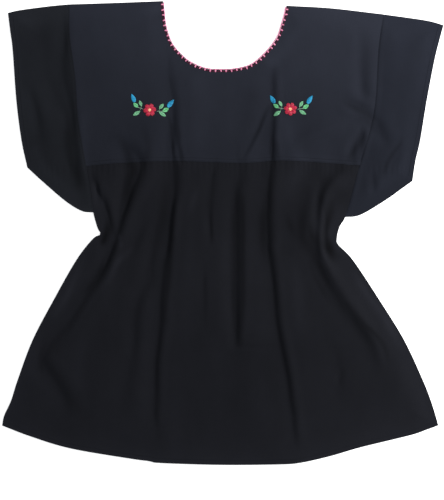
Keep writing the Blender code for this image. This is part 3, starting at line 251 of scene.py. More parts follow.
# Painted shade and painted light: strokes where the cloth's colour is painted darker, as the shade in and
# beside its folds, or lighter, as the light on its ridges and on the slopes that face the key. The reach is
# how wide the stroke is to either side, in millimetres. A route's columns are x and y, in millimetres, and
# how much lighter the cloth is painted there, in hundredths; a negative value is painted shade.
Stroke = namedtuple("Stroke", "name reach route")
STROKES = (
    Stroke("gather_left", 6.8, (
        (-156, 144, -10), (-144, 126, -42), (-140, 111, -45), (-135, 95, -55), (-140, 80, -50),
        (-144, 58, -40), (-147, 38, -5),
    )),
    Stroke("left_of_centre_left", 9.1, (
        (-82, 83, -5), (-85, 65, -28), (-87, 42, -45), (-90, 20, -48), (-94, -3, -32), (-99, -29, -5),
    )),
    Stroke("right_waist", 5.5, (
        (165, 45, -25), (163, 27, -60), (159, 12, -55), (157, -3, -45), (163, -20, -95),
        (165, -35, -50), (174, -50, -5),
    )),
    Stroke("right_pool", 7.6, (
        (123, 38, -5), (121, 17, -25), (121, -5, -28), (130, -21, -32), (141, -41, -30),
        (153, -59, -30), (162, -83, -5),
    )),
    Stroke("right_dent", 5.2, (
        (182, 200, -10), (197, 191, -40), (212, 185, -38), (224, 177, -38), (236, 167, -15),
        (241, 148, -5),
    )),
    Stroke("right_corner", 4.5, ((210, 151, -15), (203, 133, -35), (194, 118, -32), (191, 109, -20))),
    Stroke("diagonal", 3, (
        (71, 192, -15), (62, 173, -42), (56, 156, -42), (48, 139, -18), (39, 120, -5),
    )),
    Stroke("beside_centre_right", 3.3, (
        (74, 171, -5), (74, 153, -20), (74, 138, -40), (74, 123, -45), (76, 112, -30),
    )),
    Stroke("under_neck_right", 15.1, ((45, 204, -8), (42, 183, -10), (32, 148, -12), (27, 123, -10))),
    Stroke("thin_centre_left", 2.7, (
        (-80, 174, -15), (-77, 161, -38), (-76, 145, -40), (-74, 132, -48), (-73, 121, 0),
    )),
    Stroke("thin_split_left", 3, (
        (-70, 174, -5), (-65, 150, -32), (-64, 133, -18), (-62, 121, -38), (-61, 111, -32),
    )),
    Stroke("yoke_left_soft", 5.3, (
        (-117, 162, -5), (-114, 144, -22), (-111, 130, -24), (-112, 118, -24), (-115, 109, -10),
    )),
    Stroke("left_of_centre_right", 6.1, (
        (66, 62, -5), (65, 42, -25), (62, 20, -42), (62, -5, -42), (63, -27, -20), (63, -50, 0),
    )),
    Stroke("centre_left_flank", 3.3, (
        (23, 65, 0), (19, 27, -32), (19, -44, -34), (18, -102, -30), (19, -147, -10),
    )),
    Stroke("centre_right_flank", 3.3, (
        (30, 65, 0), (32, 27, -32), (32, -44, -30), (32, -102, -30), (30, -147, -5),
    )),
    Stroke("right_flank", 3.9, (
        (189, -106, -10), (205, -126, -20), (218, -141, -38), (229, -151, -42), (240, -163, -36),
        (248, -180, -30), (251, -195, -10),
    )),
    Stroke("sleeve_left_fold", 6.1, (
        (-246, 212, -5), (-237, 186, -20), (-232, 168, -28), (-232, 147, -36), (-230, 126, -36),
        (-226, 101, -34), (-217, 80, -38), (-212, 64, -5),
    )),
    Stroke("left_waist", 3.9, ((-173, 20, -15), (-176, 1, -50), (-179, -11, -70), (-184, -21, 0))),
    Stroke("left_flank", 3.9, (
        (-179, -47, -15), (-184, -58, -42), (-191, -70, -30), (-199, -80, -42), (-208, -92, -10),
    )),
    Stroke("low_middle", 21.2, ((24, -170, -10), (27, -223, -19), (24, -253, -16), (21, -291, 0))),
    Stroke("low_right", 12.1, ((73, -170, -12), (78, -220, -16), (90, -298, -12))),
    Stroke("low_left", 13.6, ((-143, -109, -8), (-153, -170, -12), (-159, -220, -6))),
    Stroke("left_hip", 4.5, ((-264, -159, -5), (-273, -180, -26), (-274, -200, -26), (-268, -220, 0))),
    Stroke("sleeve_right_low", 3.3, (
        (273, 144, -10), (268, 133, -25), (259, 121, -30), (250, 106, -34), (245, 91, -18),
    )),
    Stroke("right_panel", 13.6, ((123, 106, 26), (107, 80, 30), (98, 56, 20), (92, 32, 5))),
    Stroke("yoke_right_low", 12.1, ((101, 168, 18), (103, 141, 24), (112, 118, 12))),
    Stroke("right_ridge", 3.6, ((145, 42, 5), (144, 27, 25), (144, 12, 35), (144, -2, 5))),
    Stroke("yoke_middle", 18.2, ((-34, 229, 10), (-34, 171, 15), (-34, 114, 14), (-40, 65, 8))),
    Stroke("body_middle", 10.6, ((-47, 8, 5), (-49, -26, 14), (-52, -79, 15), (-52, -155, 8))),
    Stroke("sleeve_right_top", 19.7, ((269, 289, 20), (269, 262, 18))),
    Stroke("sleeve_left_top", 13.6, ((-297, 320, 16), (-276, 320, 10))),
    Stroke("sleeve_left_outer", 9.1, ((-282, 123, 28), (-270, 98, 25), (-246, 77, 20), (-221, 56, 18))),
    Stroke("armhole_left", 6.8, (
        (-212, 174, 15), (-211, 148, 22), (-211, 126, 36), (-208, 103, 36), (-197, 80, 12),
        (-187, 65, 35), (-180, 50, 35), (-176, 38, 5),
    )),
    Stroke("neck_right", 12.1, ((107, 303, 10), (96, 280, 20), (74, 260, 25))),
    Stroke("neck_left", 9.1, ((-100, 341, 25), (-112, 335, 15))),
    Stroke("right_hip", 7.6, ((233, -102, 15), (251, -135, 34), (269, -170, 14))),
    Stroke("waist_left_light", 3, ((-155, -5, 50), (-153, -20, 25))),
    Stroke("hem_left", 12.1, ((-70, -211, 10), (-71, -332, 15))),
    Stroke("left_waist_low", 5.8, ((-167, 20, -15), (-170, 6, -50), (-177, -9, -35), (-180, -17, -5))),
    Stroke("right_waist_low", 6.2, ((148, -11, -15), (159, -23, -60), (169, -32, -45), (182, -41, -5))),
    Stroke("right_pool_high", 5.3, ((98, 26, -10), (103, 11, -30), (109, -5, -10))),
    Stroke("right_of_pool", 4.5, ((133, 9, -15), (136, -5, -35), (141, -17, -10))),
    Stroke("left_of_centre_line", 3.6, (
        (-71, 50, -10), (-76, -8, -20), (-80, -64, -32), (-84, -102, -20), (-87, -139, -5),
    )),
    Stroke("right_dent_low", 6.1, ((203, 182, -10), (221, 168, -30), (235, 153, -12))),
    Stroke("beside_diagonal", 7.6, ((73, 182, -10), (63, 150, -18), (60, 121, -10))),
    Stroke("above_seam_right", 4.5, ((82, 135, -20), (85, 114, -22))),
    Stroke("ridge_right_dark", 3.6, ((132, -44, -12), (139, -64, -20), (150, -85, -25), (162, -105, -5))),
    Stroke("yoke_right_edge", 12.1, (
        (148, 132, 6), (156, 111, 16), (163, 94, 20), (180, 77, 18), (192, 76, 26), (198, 92, 14),
    )),
    Stroke("cuff_right", 10.6, ((274, 132, 10), (269, 101, 14), (251, 80, 16), (230, 64, 10))),
    Stroke("right_panel_low", 12.9, ((106, -44, 8), (113, -80, 26), (116, -117, 20), (118, -153, 6))),
    Stroke("ridge_right_light", 3, (
        (145, -35, 10), (151, -45, 45), (157, -61, 38), (168, -80, 20), (182, -103, 15), (194, -129, 8),
    )),
    Stroke("ridge_left_light", 5.3, (
        (-138, -26, 18), (-158, -44, 30), (-171, -68, 22), (-187, -88, 24), (-209, -121, 18),
        (-227, -153, 8),
    )),
    Stroke("left_hip_light", 12.1, ((-152, -44, 10), (-161, -79, 14), (-173, -109, 8))),
    Stroke("right_edge_light", 6.1, ((200, -62, 15), (216, -86, 30), (235, -118, 12))),
    Stroke("left_edge_light", 6.1, ((-209, -39, 10), (-221, -64, 20), (-237, -99, 22), (-253, -123, 15))),
    Stroke("beside_middle_light", 6.1, ((-38, 65, 10), (-44, 48, 25), (-49, 30, 10))),
    Stroke("left_low_light", 10.6, ((-209, -162, 8), (-217, -189, 20), (-215, -230, 10))),
)

# Embroidery: each flower's place, petals and turn, and each sprig's flower, side, turn and length. The
# lower leaf has a turn and length of its own.
Flower = namedtuple("Flower", "name x y petals turn")
FLOWERS = (
    Flower("left", -0.1095, 0.1857, 6, math.radians(8)),
    Flower("right", 0.1030, 0.1871, 7, math.radians(2)),
)
Sprig = namedtuple("Sprig", "flower side turn stretch low_turn low_stretch")
SPRIGS = (
    Sprig("left", "outer", math.radians(9), 0.97, math.radians(3), 1.00),
    Sprig("left", "inner", math.radians(-9), 1.05, math.radians(0), 0.98),
    Sprig("right", "inner", math.radians(2), 0.97, math.radians(-1), 1.03),
    Sprig("right", "outer", math.radians(-1), 1.03, math.radians(2), 0.94),
)

# A sprig's parts, in a frame with the flower's centre at its origin and the sprig towards +X
STEM = ((0.0104, -0.0004), (0.0138, 0.0006), (0.0172, 0.0008), (0.0196, 0.0020))
UPPER_STALK = ((0.0134, 0.0006), (0.0138, 0.0045))
LOWER_STALK_TOP = (0.0136, 0.0006)
LOWER_STALK_END = (0.0156, -0.0036)
Leaf = namedtuple("Leaf", "base tip half_width")
UPPER_LEAF = Leaf((0.0133, 0.0036), (0.0179, 0.0114), 0.0026)
LOWER_LEAF = Leaf((0.0145, -0.0029), (0.0241, -0.0090), 0.0029)
CALYX = Leaf((0.0184, 0.0010), (0.0260, 0.0064), 0.0031)
BUD = Leaf((0.0238, 0.0072), (0.0321, 0.0202), 0.0035)
BUD_CUT = 0.10

# The shares of a leaf's length that its stitches run over, and how its edge curves
LEAF_START = 0.02
LEAF_END = 0.97
LEAF_BELLY = 0.85
LEAF_BLUNT = 0.8

# A flower's petals and heart. Shares run from -1 to 1 across a petal
FLOWER_RADIUS = 0.0101
FLOWER_CENTRE_RADIUS = 0.0024
PETAL_STITCHES = 15
PETAL_SPREAD = 0.435
PETAL_DIP = 0.30
PETAL_ROUND = 2.6
PETAL_START = 0.75
PETAL_BEND = 0.05
PETAL_THREAD = 1.15
PETAL_FLATTER = 0.55

# French knots in rings, with their distance from the centre and their count
KNOT_RINGS = ((0.0, 1), (0.0010, 6), (0.0019, 11))
KNOT_REACH = 0.00055
KNOT_RADIUS = 0.00052
KNOT_LIFT = 0.0014
KNOT_DROP = 0.22
KNOT_FULLNESS = 0.0002
KNOT_TURN = 0.9
KNOT_TWIST = 400

# A fold's lip: how many reaches from the fold's line it stands, and how wide it is
LIP_PLACE = 2.1
LIP_WIDTH = 1.2

# Yoke columns: where a column that starts at x on the yoke seam ends. Place is -1 to 0 along the left
# shoulder, 0 to 1 round the neck, and 1 to 2 along the right shoulder.
YOKE_GRAIN_X = (-0.2053, -0.0880, -0.0740, 0.0050, 0.0730, 0.0880, 0.2077)
YOKE_GRAIN_PLACE = (-1.0, 0.0, 0.20, 0.50, 0.80, 1.0, 2.0)

# Hems, seams and the fine unevenness of the cloth, which is calm at its edges. The puckers' spacing
# wanders by the sum of waves of so many radians, which turn by so many radians in a metre.
HEM_WIDTH = 0.0085
HEM_RISE = 0.00025
PRESSED_EDGE = 0.003
SEAM_WELT = 0.0065
SEAM_WELT_RISE = 0.00045
SEAM_GROOVE = 0.0014
SEAM_GROOVE_DEPTH = 0.0003
RIPPLE = 0.00045
RIPPLE_ACROSS = 0.030
RIPPLE_ALONG = 0.085
FINE_RIPPLE = 0.45
FINE_RIPPLE_ACROSS = 2.3
FINE_RIPPLE_ALONG = 1.9
PUCKER = 0.00055
PUCKER_SPACING = 0.0075
PUCKER_WANDER = ((2.1, 91.0), (1.3, 37.0))
PUCKER_RUN = 0.016
PUCKER_ABOVE = 0.0005
CALM_EDGE = 0.012
OUTER_LIFT = 0.0002
FOLD_OVER_REACH = 0.0012
FOLD_OVER_WEAVE = 0.0004
SMOOTH_ANGLE = math.radians(50)

# Painted light and shade on each cloth: from which plan point, how much lighter it is painted per metre to
# the right and upwards, and how much lighter it is painted at the blouse's edge
Drift = namedtuple("Drift", "x y right up edge")
YOKE_LIGHT_PAINT = Drift(0.0, 0.22, 0.44, 1.90, 0.06)
LEFT_SLEEVE_LIGHT_PAINT = Drift(-0.27, 0.20, 0.54, 0.91, 0.30)
RIGHT_SLEEVE_LIGHT_PAINT = Drift(0.27, 0.20, -0.30, 1.40, 0.22)
BODY_LIGHT_PAINT = Drift(0.0, -0.12, 0.04, -0.27, 0.26)
LIGHT_PAINT_EDGE = 0.028

# Share of the body's width, at either side, where its rows bend to meet the side seams, and the shares of
# its drop where a side has a corner, so that a row runs through each
SIDE_SHARE = 0.08
CORNER_LEVELS = (0.178, 0.198, 0.265, 0.2927)

# Sleeves: on which side, their seams' and edges' lines, the share of the body's side that the sleeve's seam
# takes in, the painted light and shade on the cloth, and the area of the flat cloth
Sleeve = namedtuple("Sleeve", "name side armhole body_side last_level top cuff underarm drift area")
SLEEVES = (
    Sleeve(
        "left",
        side=-1,
        armhole=ARMHOLE_LEFT,
        body_side=SIDE_LEFT,
        last_level=0.178,
        top=SLEEVE_TOP_LEFT,
        cuff=CUFF_LEFT,
        underarm=UNDERARM_LEFT,
        drift=LEFT_SLEEVE_LIGHT_PAINT,
        area=0.052,
    ),
    Sleeve(
        "right",
        side=1,
        armhole=ARMHOLE_RIGHT,
        body_side=SIDE_RIGHT,
        last_level=0.198,
        top=SLEEVE_TOP_RIGHT,
        cuff=CUFF_RIGHT,
        underarm=UNDERARM_RIGHT,
        drift=RIGHT_SLEEVE_LIGHT_PAINT,
        area=0.047,
    ),
)

# Columns and rows of the cloths' meshes
BODY_COLUMNS = 220
BODY_ROWS = 150
FRONT_BODY_COLUMNS = 56
FRONT_BODY_ROWS = 60
YOKE_COLUMNS_BESIDE_NECK = 34
YOKE_COLUMNS_AT_NECK = 88
YOKE_ROWS = 74
FRONT_YOKE_ROWS = 14
SLEEVE_COLUMNS = 44
SLEEVE_ROWS = 96
FRONT_SLEEVE_ROWS = 20

# The grid that the upper layer's height is looked up in, which is worked out in strips
GROUND_STEP = 0.0015
GROUND_X = (-0.345, 0.346)
GROUND_Y = (-0.360, 0.361)
GROUND_STRIPS = 24

# Crocheted neck edging: a cord of two strands and stitches over it, and behind them a dark wine cord that is
# painted shade between the stitches. The strands' place, sway and thickness are shares of the cord's radius.
# The stitches lean by the sum of waves of so many degrees, which turn by so many radians from stitch to
# stitch.
EDGING_STEPS = 620
EDGING_STITCHES = 39
EDGING_RADIUS = 0.00068
EDGING_HEIGHT = UPPER_LAY + CLOTH * 0.6 + EDGING_RADIUS
FRONT_EDGING_RADIUS = 0.00040
FRONT_EDGING_HEIGHT = 0.0006
EDGING_TWIST = 0.0034
STRAND_PLACE = 1.25
STRAND_SWAY = 0.45
STRAND_RADIUS = 0.72
STITCH_LENGTH = 0.0038
STITCH_UNEVEN = 0.12
STITCH_UNEVEN_TURN = 1.9
STITCH_BACK = 0.0012
STITCH_FOOT = 0.00075
STITCH_HEAD = 0.00028
STITCH_RADIUS = 0.00062
STITCH_LIFT = 0.0006
STITCH_FULLNESS = 0.0005
STITCH_LEANS = ((10, 2.4), (6, 0.7))
SHADE_CORD_OFFSET = 0.0024
SHADE_CORD_RADIUS = 0.00085
SHADE_CORD_SINK = 0.00034

# Embroidery threads: how thick, far apart, slanted, lifted off the cloth and full they are
SATIN_RADIUS = 0.00034
SATIN_PITCH = 0.00046
SATIN_SLANT = 0.0009
SATIN_LIFT = 0.0004
VEINED_FULLNESS = 0.0003
VEINED_SLANT = 0.6
PLAIN_FULLNESS = 0.0006
PLAIN_SLANT = 0.4
STEM_RADIUS = 0.00036
STALK_RADIUS = 0.00020
STEM_STITCH = 0.0011
STEM_FULLNESS = 0.0002

# Sewing: stitches, where their rows lie beside a seam or in a hem, and the allowances under the seams
SEWING_PITCH = 0.0031
SEWING_LENGTH = 0.0022
SEWING_RADIUS = 0.00022
SEWING_LIFT = 0.00008
BESIDE_SEAM = 0.0014
WELT_ROW = 0.0056
HEM_ROW = HEM_WIDTH * 0.82
ALLOWANCE_HALF_WIDTH = 0.0035
ALLOWANCE_DROP = 0.00105
ALLOWANCE_THICKNESS = 0.00025

# Materials: each cotton's tone and roughness, the shares of the tone that its dark, plain and worn
# threads have, and each thread's dye
THREAD_PITCH = 0.00075
SLUB_FINE = 1300
SLUB_LONG = 60
COTTONS = {
    "yoke_cotton": ((0.0134, 0.0150, 0.0216), 0.9),
    # The two sleeves are one cloth: the left sleeve's darker tone is painted shade and the right sleeve's
    # lighter, bluer tone is painted light, from the key light at the right
    "left_sleeve_cotton": ((0.0082, 0.0091, 0.0117), 0.9),
    "right_sleeve_cotton": ((0.0107, 0.0122, 0.0180), 0.9),
    "body_cotton": ((0.0071, 0.0075, 0.0099), 0.92),
}
COTTON_SHARES = (0.80, 1.0, 1.26)
Dye = namedtuple("Dye", "dark light roughness sheen specular", defaults=(0.08, 0.2))
DYES = {
    "pink_cotton": Dye((0.50, 0.12, 0.23), (0.74, 0.28, 0.43), 0.6),
    # Wine: the colour of a cord that is painted shade between the neck edging's stitches
    "wine_shade_cotton": Dye((0.040, 0.004, 0.012), (0.075, 0.008, 0.024), 0.8, 0.0, 0.05),
    "red_silk": Dye((0.20, 0.004, 0.016), (0.46, 0.014, 0.050), 0.42),
    "peach_silk": Dye((0.85, 0.33, 0.14), (1.0, 0.55, 0.33), 0.45),
    "green_silk": Dye((0.072, 0.256, 0.120), (0.156, 0.400, 0.224), 0.45),
    "bright_green_silk": Dye((0.068, 0.312, 0.120), (0.147, 0.490, 0.222), 0.45),
    "pale_silk": Dye((0.16, 0.24, 0.18), (0.28, 0.36, 0.31), 0.45),
    "blue_silk": Dye((0.004, 0.144, 0.300), (0.012, 0.274, 0.467), 0.42),
    "black_sewing_thread": Dye((0.0040, 0.0044, 0.0060), (0.0080, 0.0088, 0.0120), 0.75, 0.0, 0.05),
}

# The photograph's view: how much the frame's long side shows, and where its middle is
VIEW_HEIGHT = 0.7575
VIEW_MIDDLE = (-0.0014, -0.0259)
LENS = 110
SENSOR = 36

# Studio. The floor is lit from below, as a light table is, so that it casts no hard shadow of the blouse
FLOOR_SIZE = 9
FLOOR_DROP = 0.0006
FLOOR_TONES = ((0.0, (0.93, 0.93, 0.93)), (1.0, (0.95, 0.95, 0.95)))
FLOOR_GLOW = 0.65
KEY_PLACE = (1.42, 0.42, 1.35)
KEY_SIZE = 0.6
KEY_POWER = 54
KEY_COLOUR = (1.0, 0.985, 0.96)
SKY_COLOUR = (0.93, 0.96, 1.0, 1)
SKY_STRENGTH = 0.55


def smooth_curve(points, steps=6):
    """Points on a smooth curve that runs through all the given ones, with so many steps between two."""
    given = np.array(points, float)
    before = np.vstack([2 * given[0] - given[1], given, 2 * given[-1] - given[-2]])
    made = [given[0]]
    for i in range(1, len(given)):
        p0, p1, p2, p3 = before[i - 1 : i + 3]
        for k in range(1, steps + 1):
            t = k / steps
            square = (2 * p0 - 5 * p1 + 4 * p2 - p3) * t**2
            cube = (3 * p1 - p0 - 3 * p2 + p3) * t**3
            made.append(0.5 * (2 * p1 + (p2 - p0) * t + square + cube))
    return np.array(made)


def along(curve, shares):
    """Points at these shares of a curve's length."""
    steps = np.linalg.norm(np.diff(curve, axis=0), axis=1)
    reached = np.concatenate([[0], np.cumsum(steps)]) / steps.sum()
    return np.stack([np.interp(shares, reached, curve[:, k]) for k in range(curve.shape[1])], axis=1)


def down(curve, levels):
    """Points of a curve that runs down the blouse, at these shares of its drop."""
    y = curve[0, 1] + np.asarray(levels) * (curve[-1, 1] - curve[0, 1])
    return np.stack([np.interp(-y, -curve[:, 1], curve[:, 0]), y], axis=1)


def neck_curve(extra_depth):
    """The neck's edge, with its bottom lowered by that much."""
    line = smooth_curve(NECK_BACK)
    depth = line[0, 1] - line[:, 1].min()
    top = line[0, 1] + (line[-1, 1] - line[0, 1]) * np.linspace(0, 1, len(line))
    line[:, 1] -= (top - line[:, 1]) / depth * extra_depth
    return line


def blouse_outline():
    """The whole blouse's edge, as a closed line of points."""
    lines = (
        smooth_curve(SHOULDER_LEFT)[::-1],
        smooth_curve(SLEEVE_TOP_LEFT),
        smooth_curve(CUFF_LEFT),
        smooth_curve(UNDERARM_LEFT)[::-1],
        smooth_curve(SIDE_LEFT[2:]),
        smooth_curve(HEM),
        smooth_curve(SIDE_RIGHT[2:])[::-1],
        smooth_curve(UNDERARM_RIGHT),
        smooth_curve(CUFF_RIGHT)[::-1],
        smooth_curve(SLEEVE_TOP_RIGHT)[::-1],
        smooth_curve(SHOULDER_RIGHT)[::-1],
        neck_curve(0)[::-1],
    )
    return np.vstack(lines)


def nearest_on_line(x, y, line):
    """(distance, side, further columns) of each point's nearest place on a line; side is 1 on its left."""
    best = np.full(x.shape, np.inf)
    side = np.ones(x.shape)
    extra = np.zeros(x.shape + (line.shape[1] - 2,))
    for start, end in zip(line[:-1], line[1:]):
        run = end[:2] - start[:2]
        length = max(run @ run, 1e-12)
        share = np.clip(((x - start[0]) * run[0] + (y - start[1]) * run[1]) / length, 0, 1)
        dx = x - start[0] - share * run[0]
        dy = y - start[1] - share * run[1]
        gap = np.hypot(dx, dy)
        closer = gap < best
        best = np.where(closer, gap, best)
        side = np.where(closer, np.where(run[0] * dy - run[1] * dx > 0, 1.0, -1.0), side)
        value = start[2:] + share[..., None] * (end[2:] - start[2:])
        extra = np.where(closer[..., None], value, extra)
    return best, side, extra


def drawn(folds):
    """(fold, smooth line) of each fold, with reaches, places and depths in metres."""
    pairs = []
    for fold in folds:
        metres = fold._replace(reach_left=fold.reach_left / 1000, reach_right=fold.reach_right / 1000)
        pairs.append((metres, smooth_curve(np.array(fold.route) / (1000, 1000, 1000, 1), 4)))
    return pairs


OUTLINE = blouse_outline()
FOLD_LINES = drawn(FOLDS)
CREASE_LINES = drawn(CREASES)
STROKE_LINES = [
    (stroke.reach / 1000, smooth_curve(np.array(stroke.route) / (1000, 1000, 100), 3)) for stroke in STROKES
]
HEM_LINE = smooth_curve(HEM)
CUFF_LINES = (smooth_curve(CUFF_LEFT), smooth_curve(CUFF_RIGHT))
SEAM_LINE = smooth_curve(YOKE_SEAM)
ARMHOLE_LINES = (
    np.vstack([smooth_curve(ARMHOLE_LEFT), smooth_curve(SIDE_LEFT)[1:13]]),
    np.vstack([smooth_curve(ARMHOLE_RIGHT), smooth_curve(SIDE_RIGHT)[1:13]]),
)


def soft_step(value):
    value = np.clip(value, 0, 1)
    return value * value * (3 - 2 * value)


def seam_height(x):
    return np.interp(x, SEAM_LINE[:, 0], SEAM_LINE[:, 1])


def hem_height(x):
    return np.interp(x, HEM_LINE[:, 0], HEM_LINE[:, 1])


def fold_height(x, y, fold, line):
    """What one fold adds to the height of the upper layer."""
    gap, side, extra = nearest_on_line(x, y, line)
    depth, spread = extra[..., 0], extra[..., 1]
    left = side > 0
    reach = np.where(left, fold.reach_left, fold.reach_right) * spread
    lip = np.where(left, fold.lip_left, fold.lip_right)
    across = gap / reach
    return depth * (lip * np.exp(-((across - LIP_PLACE) ** 2) / LIP_WIDTH) - np.exp(-(across**2)))


def lay(x, y):
    """Height of the underside of the upper layer above the surface that the blouse lies on."""
    edge = nearest_on_line(x, y, OUTLINE)[0]
    loft = YOKE_LOFT + (BODY_LOFT - YOKE_LOFT) * soft_step((LOFT_BLEND_Y - y) / LOFT_BLEND)
    rise = loft * (1 - np.exp(-((edge / LOFT_RUN) ** 2)))
    fading = 1 - np.exp(-((edge / (LOFT_RUN / 2)) ** 2))
    for fold, line in FOLD_LINES:
        rise = rise + fold_height(x, y, fold, line) * fading
    return UPPER_LAY + 0.5 * (np.sqrt(rise * rise + SOFT_FLOOR**2) + rise)


def hem_rise(x, y):
    """Extra height where a cuff or the hem is turned under and sewn."""
    rise = 0
    for line in (HEM_LINE, *CUFF_LINES):
        gap = nearest_on_line(x, y, line)[0]
        rise = np.maximum(rise, HEM_RISE * soft_step((HEM_WIDTH - gap) / PRESSED_EDGE + 0.5))
    return rise


def seam_rise(x, y):
    """Extra height beside the seams, where the edges are pressed to one side, and the dip on the seam."""
    beside = [(nearest_on_line(x, y, SEAM_LINE)[0], y > seam_height(x))]
    for line, outer in zip(ARMHOLE_LINES, (-1, 1)):
        gap, side, _ = nearest_on_line(x, y, line)
        beside.append((gap, side == outer))
    rise, dip = 0, 0
    for gap, pressed in beside:
        rise = np.maximum(rise, SEAM_WELT_RISE * pressed * soft_step((SEAM_WELT - gap) / PRESSED_EDGE + 0.5))
        dip = np.maximum(dip, np.exp(-((gap / SEAM_GROOVE) ** 2)))
    return rise - SEAM_GROOVE_DEPTH * dip


def ripple(x, y):
    """Fine unevenness: long soft ripples down the body, and puckers just under the yoke seam."""
    long_wave = np.array(
        [
            noise.noise(Vector((a, b, 0.3)))
            + FINE_RIPPLE * noise.noise(Vector((a * FINE_RIPPLE_ACROSS, b * FINE_RIPPLE_ALONG, 4.1)))
            for a, b in zip(np.ravel(x) / RIPPLE_ACROSS, np.ravel(y) / RIPPLE_ALONG)
        ]
    ).reshape(np.shape(x))
    below = seam_height(x) - y
    close = np.exp(-((np.clip(below, 0, 1) / PUCKER_RUN) ** 2)) * (below > -PUCKER_ABOVE)
    wander = sum(size * np.sin(x * turn) for size, turn in PUCKER_WANDER)
    wave = np.sin(2 * math.pi * x / PUCKER_SPACING + wander)
    return RIPPLE * long_wave + PUCKER * close * wave / 2


def top_height(x, y):
    """Height of the upper layer's outer face."""
    edge = nearest_on_line(x, y, OUTLINE)[0]
    extra = ripple(x, y) + seam_rise(x, y)
    for crease, line in CREASE_LINES:
        extra = extra + fold_height(x, y, crease, line)
    height = lay(x, y) + extra * (1 - np.exp(-((edge / CALM_EDGE) ** 2))) + hem_rise(x, y)
    return np.maximum(height, UPPER_LAY) + CLOTH + OUTER_LIFT


def floor_height(x, y):
    """Outer face of a layer that lies flat on the surface with its outer face up."""
    return np.full(x.shape, CLOTH)


def under_height(x, y):
    """Outer face of a layer that lies flat on the surface with its outer face down."""
    return np.zeros(x.shape)


def painted_light_and_shade(plan, drift):
    """How much lighter than its tone the cloth is painted at these plan points, as painted light and shade.
    """
    x, y = plan.T
    change = drift.right * (x - drift.x) + drift.up * (y - drift.y)
    change += drift.edge * np.exp(-((nearest_on_line(x, y, OUTLINE)[0] / LIGHT_PAINT_EDGE) ** 2))
    for reach, line in STROKE_LINES:
        gap, _, share = nearest_on_line(x, y, line)
        change += share[:, 0] * np.exp(-((gap / reach) ** 2))
    return np.exp(change) - 1


def new_object(name, points, faces, finish):
    """An object of these points and faces, the only one selected, with its faces turned outwards."""
    mesh = bpy.data.meshes.new(name)
    mesh.from_pydata([tuple(Vector(p) - Vector(MIDDLE)) for p in points], [], faces)
    mesh.materials.append(finish)
    obj = bpy.data.objects.new(name, mesh)
    bpy.context.scene.collection.objects.link(obj)
    bpy.ops.object.select_all(action="DESELECT")
    obj.select_set(True)
    bpy.context.view_layer.objects.active = obj
    bpy.ops.object.mode_set(mode="EDIT")
    bpy.ops.mesh.select_all(action="SELECT")
    bpy.ops.mesh.normals_make_consistent(inside=False)
    bpy.ops.object.mode_set(mode="OBJECT")
    return obj


def place(obj, slot, *nodes):
    """Lets a finished piece ride the root, in place of these nodes. The slot is not used."""
    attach(obj, "root")
    if nodes:
        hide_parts(*nodes)


class Sheet:
    """Collects the points of one sheet of cloth and the four-sided faces between them."""

    def __init__(self):
        self.points = []
        self.weave = []
        self.quads = []

    def add(self, points, weave):
        first = len(self.points)
        self.points += [tuple(p) for p in points]
        self.weave += [tuple(w) for w in weave]
        return list(range(first, len(self.points)))

    def join(self, line, following):
        self.quads += zip(line, line[1:], following[1:], following)

    def add_rows(self, rows, height):
        """Adds rows of plan points as lines and joins them. The weave runs true to the cut."""
        lines = [self.add(np.column_stack([row, height(row[:, 0], row[:, 1])]), row) for row in rows]
        for line, following in zip(lines, lines[1:]):
            self.join(line, following)
        return lines

    def fold_over(self, upper, lower, outward, steps=7):
        """Joins the upper layer's edge to the lower layer's with a round fold."""
        top = np.array([self.points[k] for k in upper])
        bottom = np.array([self.points[k] for k in lower])
        last = upper
        for k in range(1, steps):
            angle = math.pi * k / steps
            line = (top + bottom) / 2 + (top - bottom) / 2 * math.cos(angle)
            line[:, :2] += outward * FOLD_OVER_REACH * math.sin(angle)
            weave = np.array([self.weave[n] for n in upper]) + (0, FOLD_OVER_WEAVE * k)
            line = self.add(line, weave)
            self.join(last, line)
            last = line
        self.join(last, lower)

    def build(self, name, finish, slot, node, drift):
        """The sheet as a piece with the cloth's thickness, its outer face where the points are."""
        obj = new_object(name, self.points, self.quads, finish)
        mesh = obj.data
        if mesh.polygons[0].normal.z < 0:
            mesh.flip_normals()
        corner = np.empty(len(mesh.loops), np.int32)
        mesh.loops.foreach_get("vertex_index", corner)
        # Painted light and shade: how much lighter or darker each point's colour is painted
        lighter = painted_light_and_shade(np.array(self.points)[:, :2], drift)
        for layer, values in (("Weave", self.weave), ("Fade", np.column_stack([lighter, lighter]))):
            uv = mesh.uv_layers.new(name=layer)
            uv.data.foreach_set("uv", np.array(values, np.float32)[corner].ravel())
        thick = obj.modifiers.new("Thickness", "SOLIDIFY")
        thick.thickness = CLOTH
        thick.offset = -1
        bpy.ops.object.modifier_apply(modifier=thick.name)
        bpy.ops.object.shade_smooth_by_angle(angle=SMOOTH_ANGLE)
        place(obj, slot, node)
        return obj


def outward_of(edge):
    """Unit plan directions square to an edge line, on its left going along it."""
    run = np.gradient(np.asarray(edge), axis=0)
    run /= np.linalg.norm(run, axis=1)[:, None]
    return np.column_stack([-run[:, 1], run[:, 0]])


def patch(left, right, top, bottom, shares):
    """Rows of plan points between four edges."""
    drop = np.linalg.norm(np.diff(left, axis=0), axis=1)
    levels = np.concatenate([[0], np.cumsum(drop)]) / drop.sum()
    u = shares[:, None]
    rows = []
    for k, v in enumerate(levels):
        corners = (1 - v) * ((1 - u) * top[0] + u * top[-1]) + v * ((1 - u) * bottom[0] + u * bottom[-1])
        rows.append((1 - v) * top + v * bottom + (1 - u) * left[k] + u * right[k] - corners)
    return rows


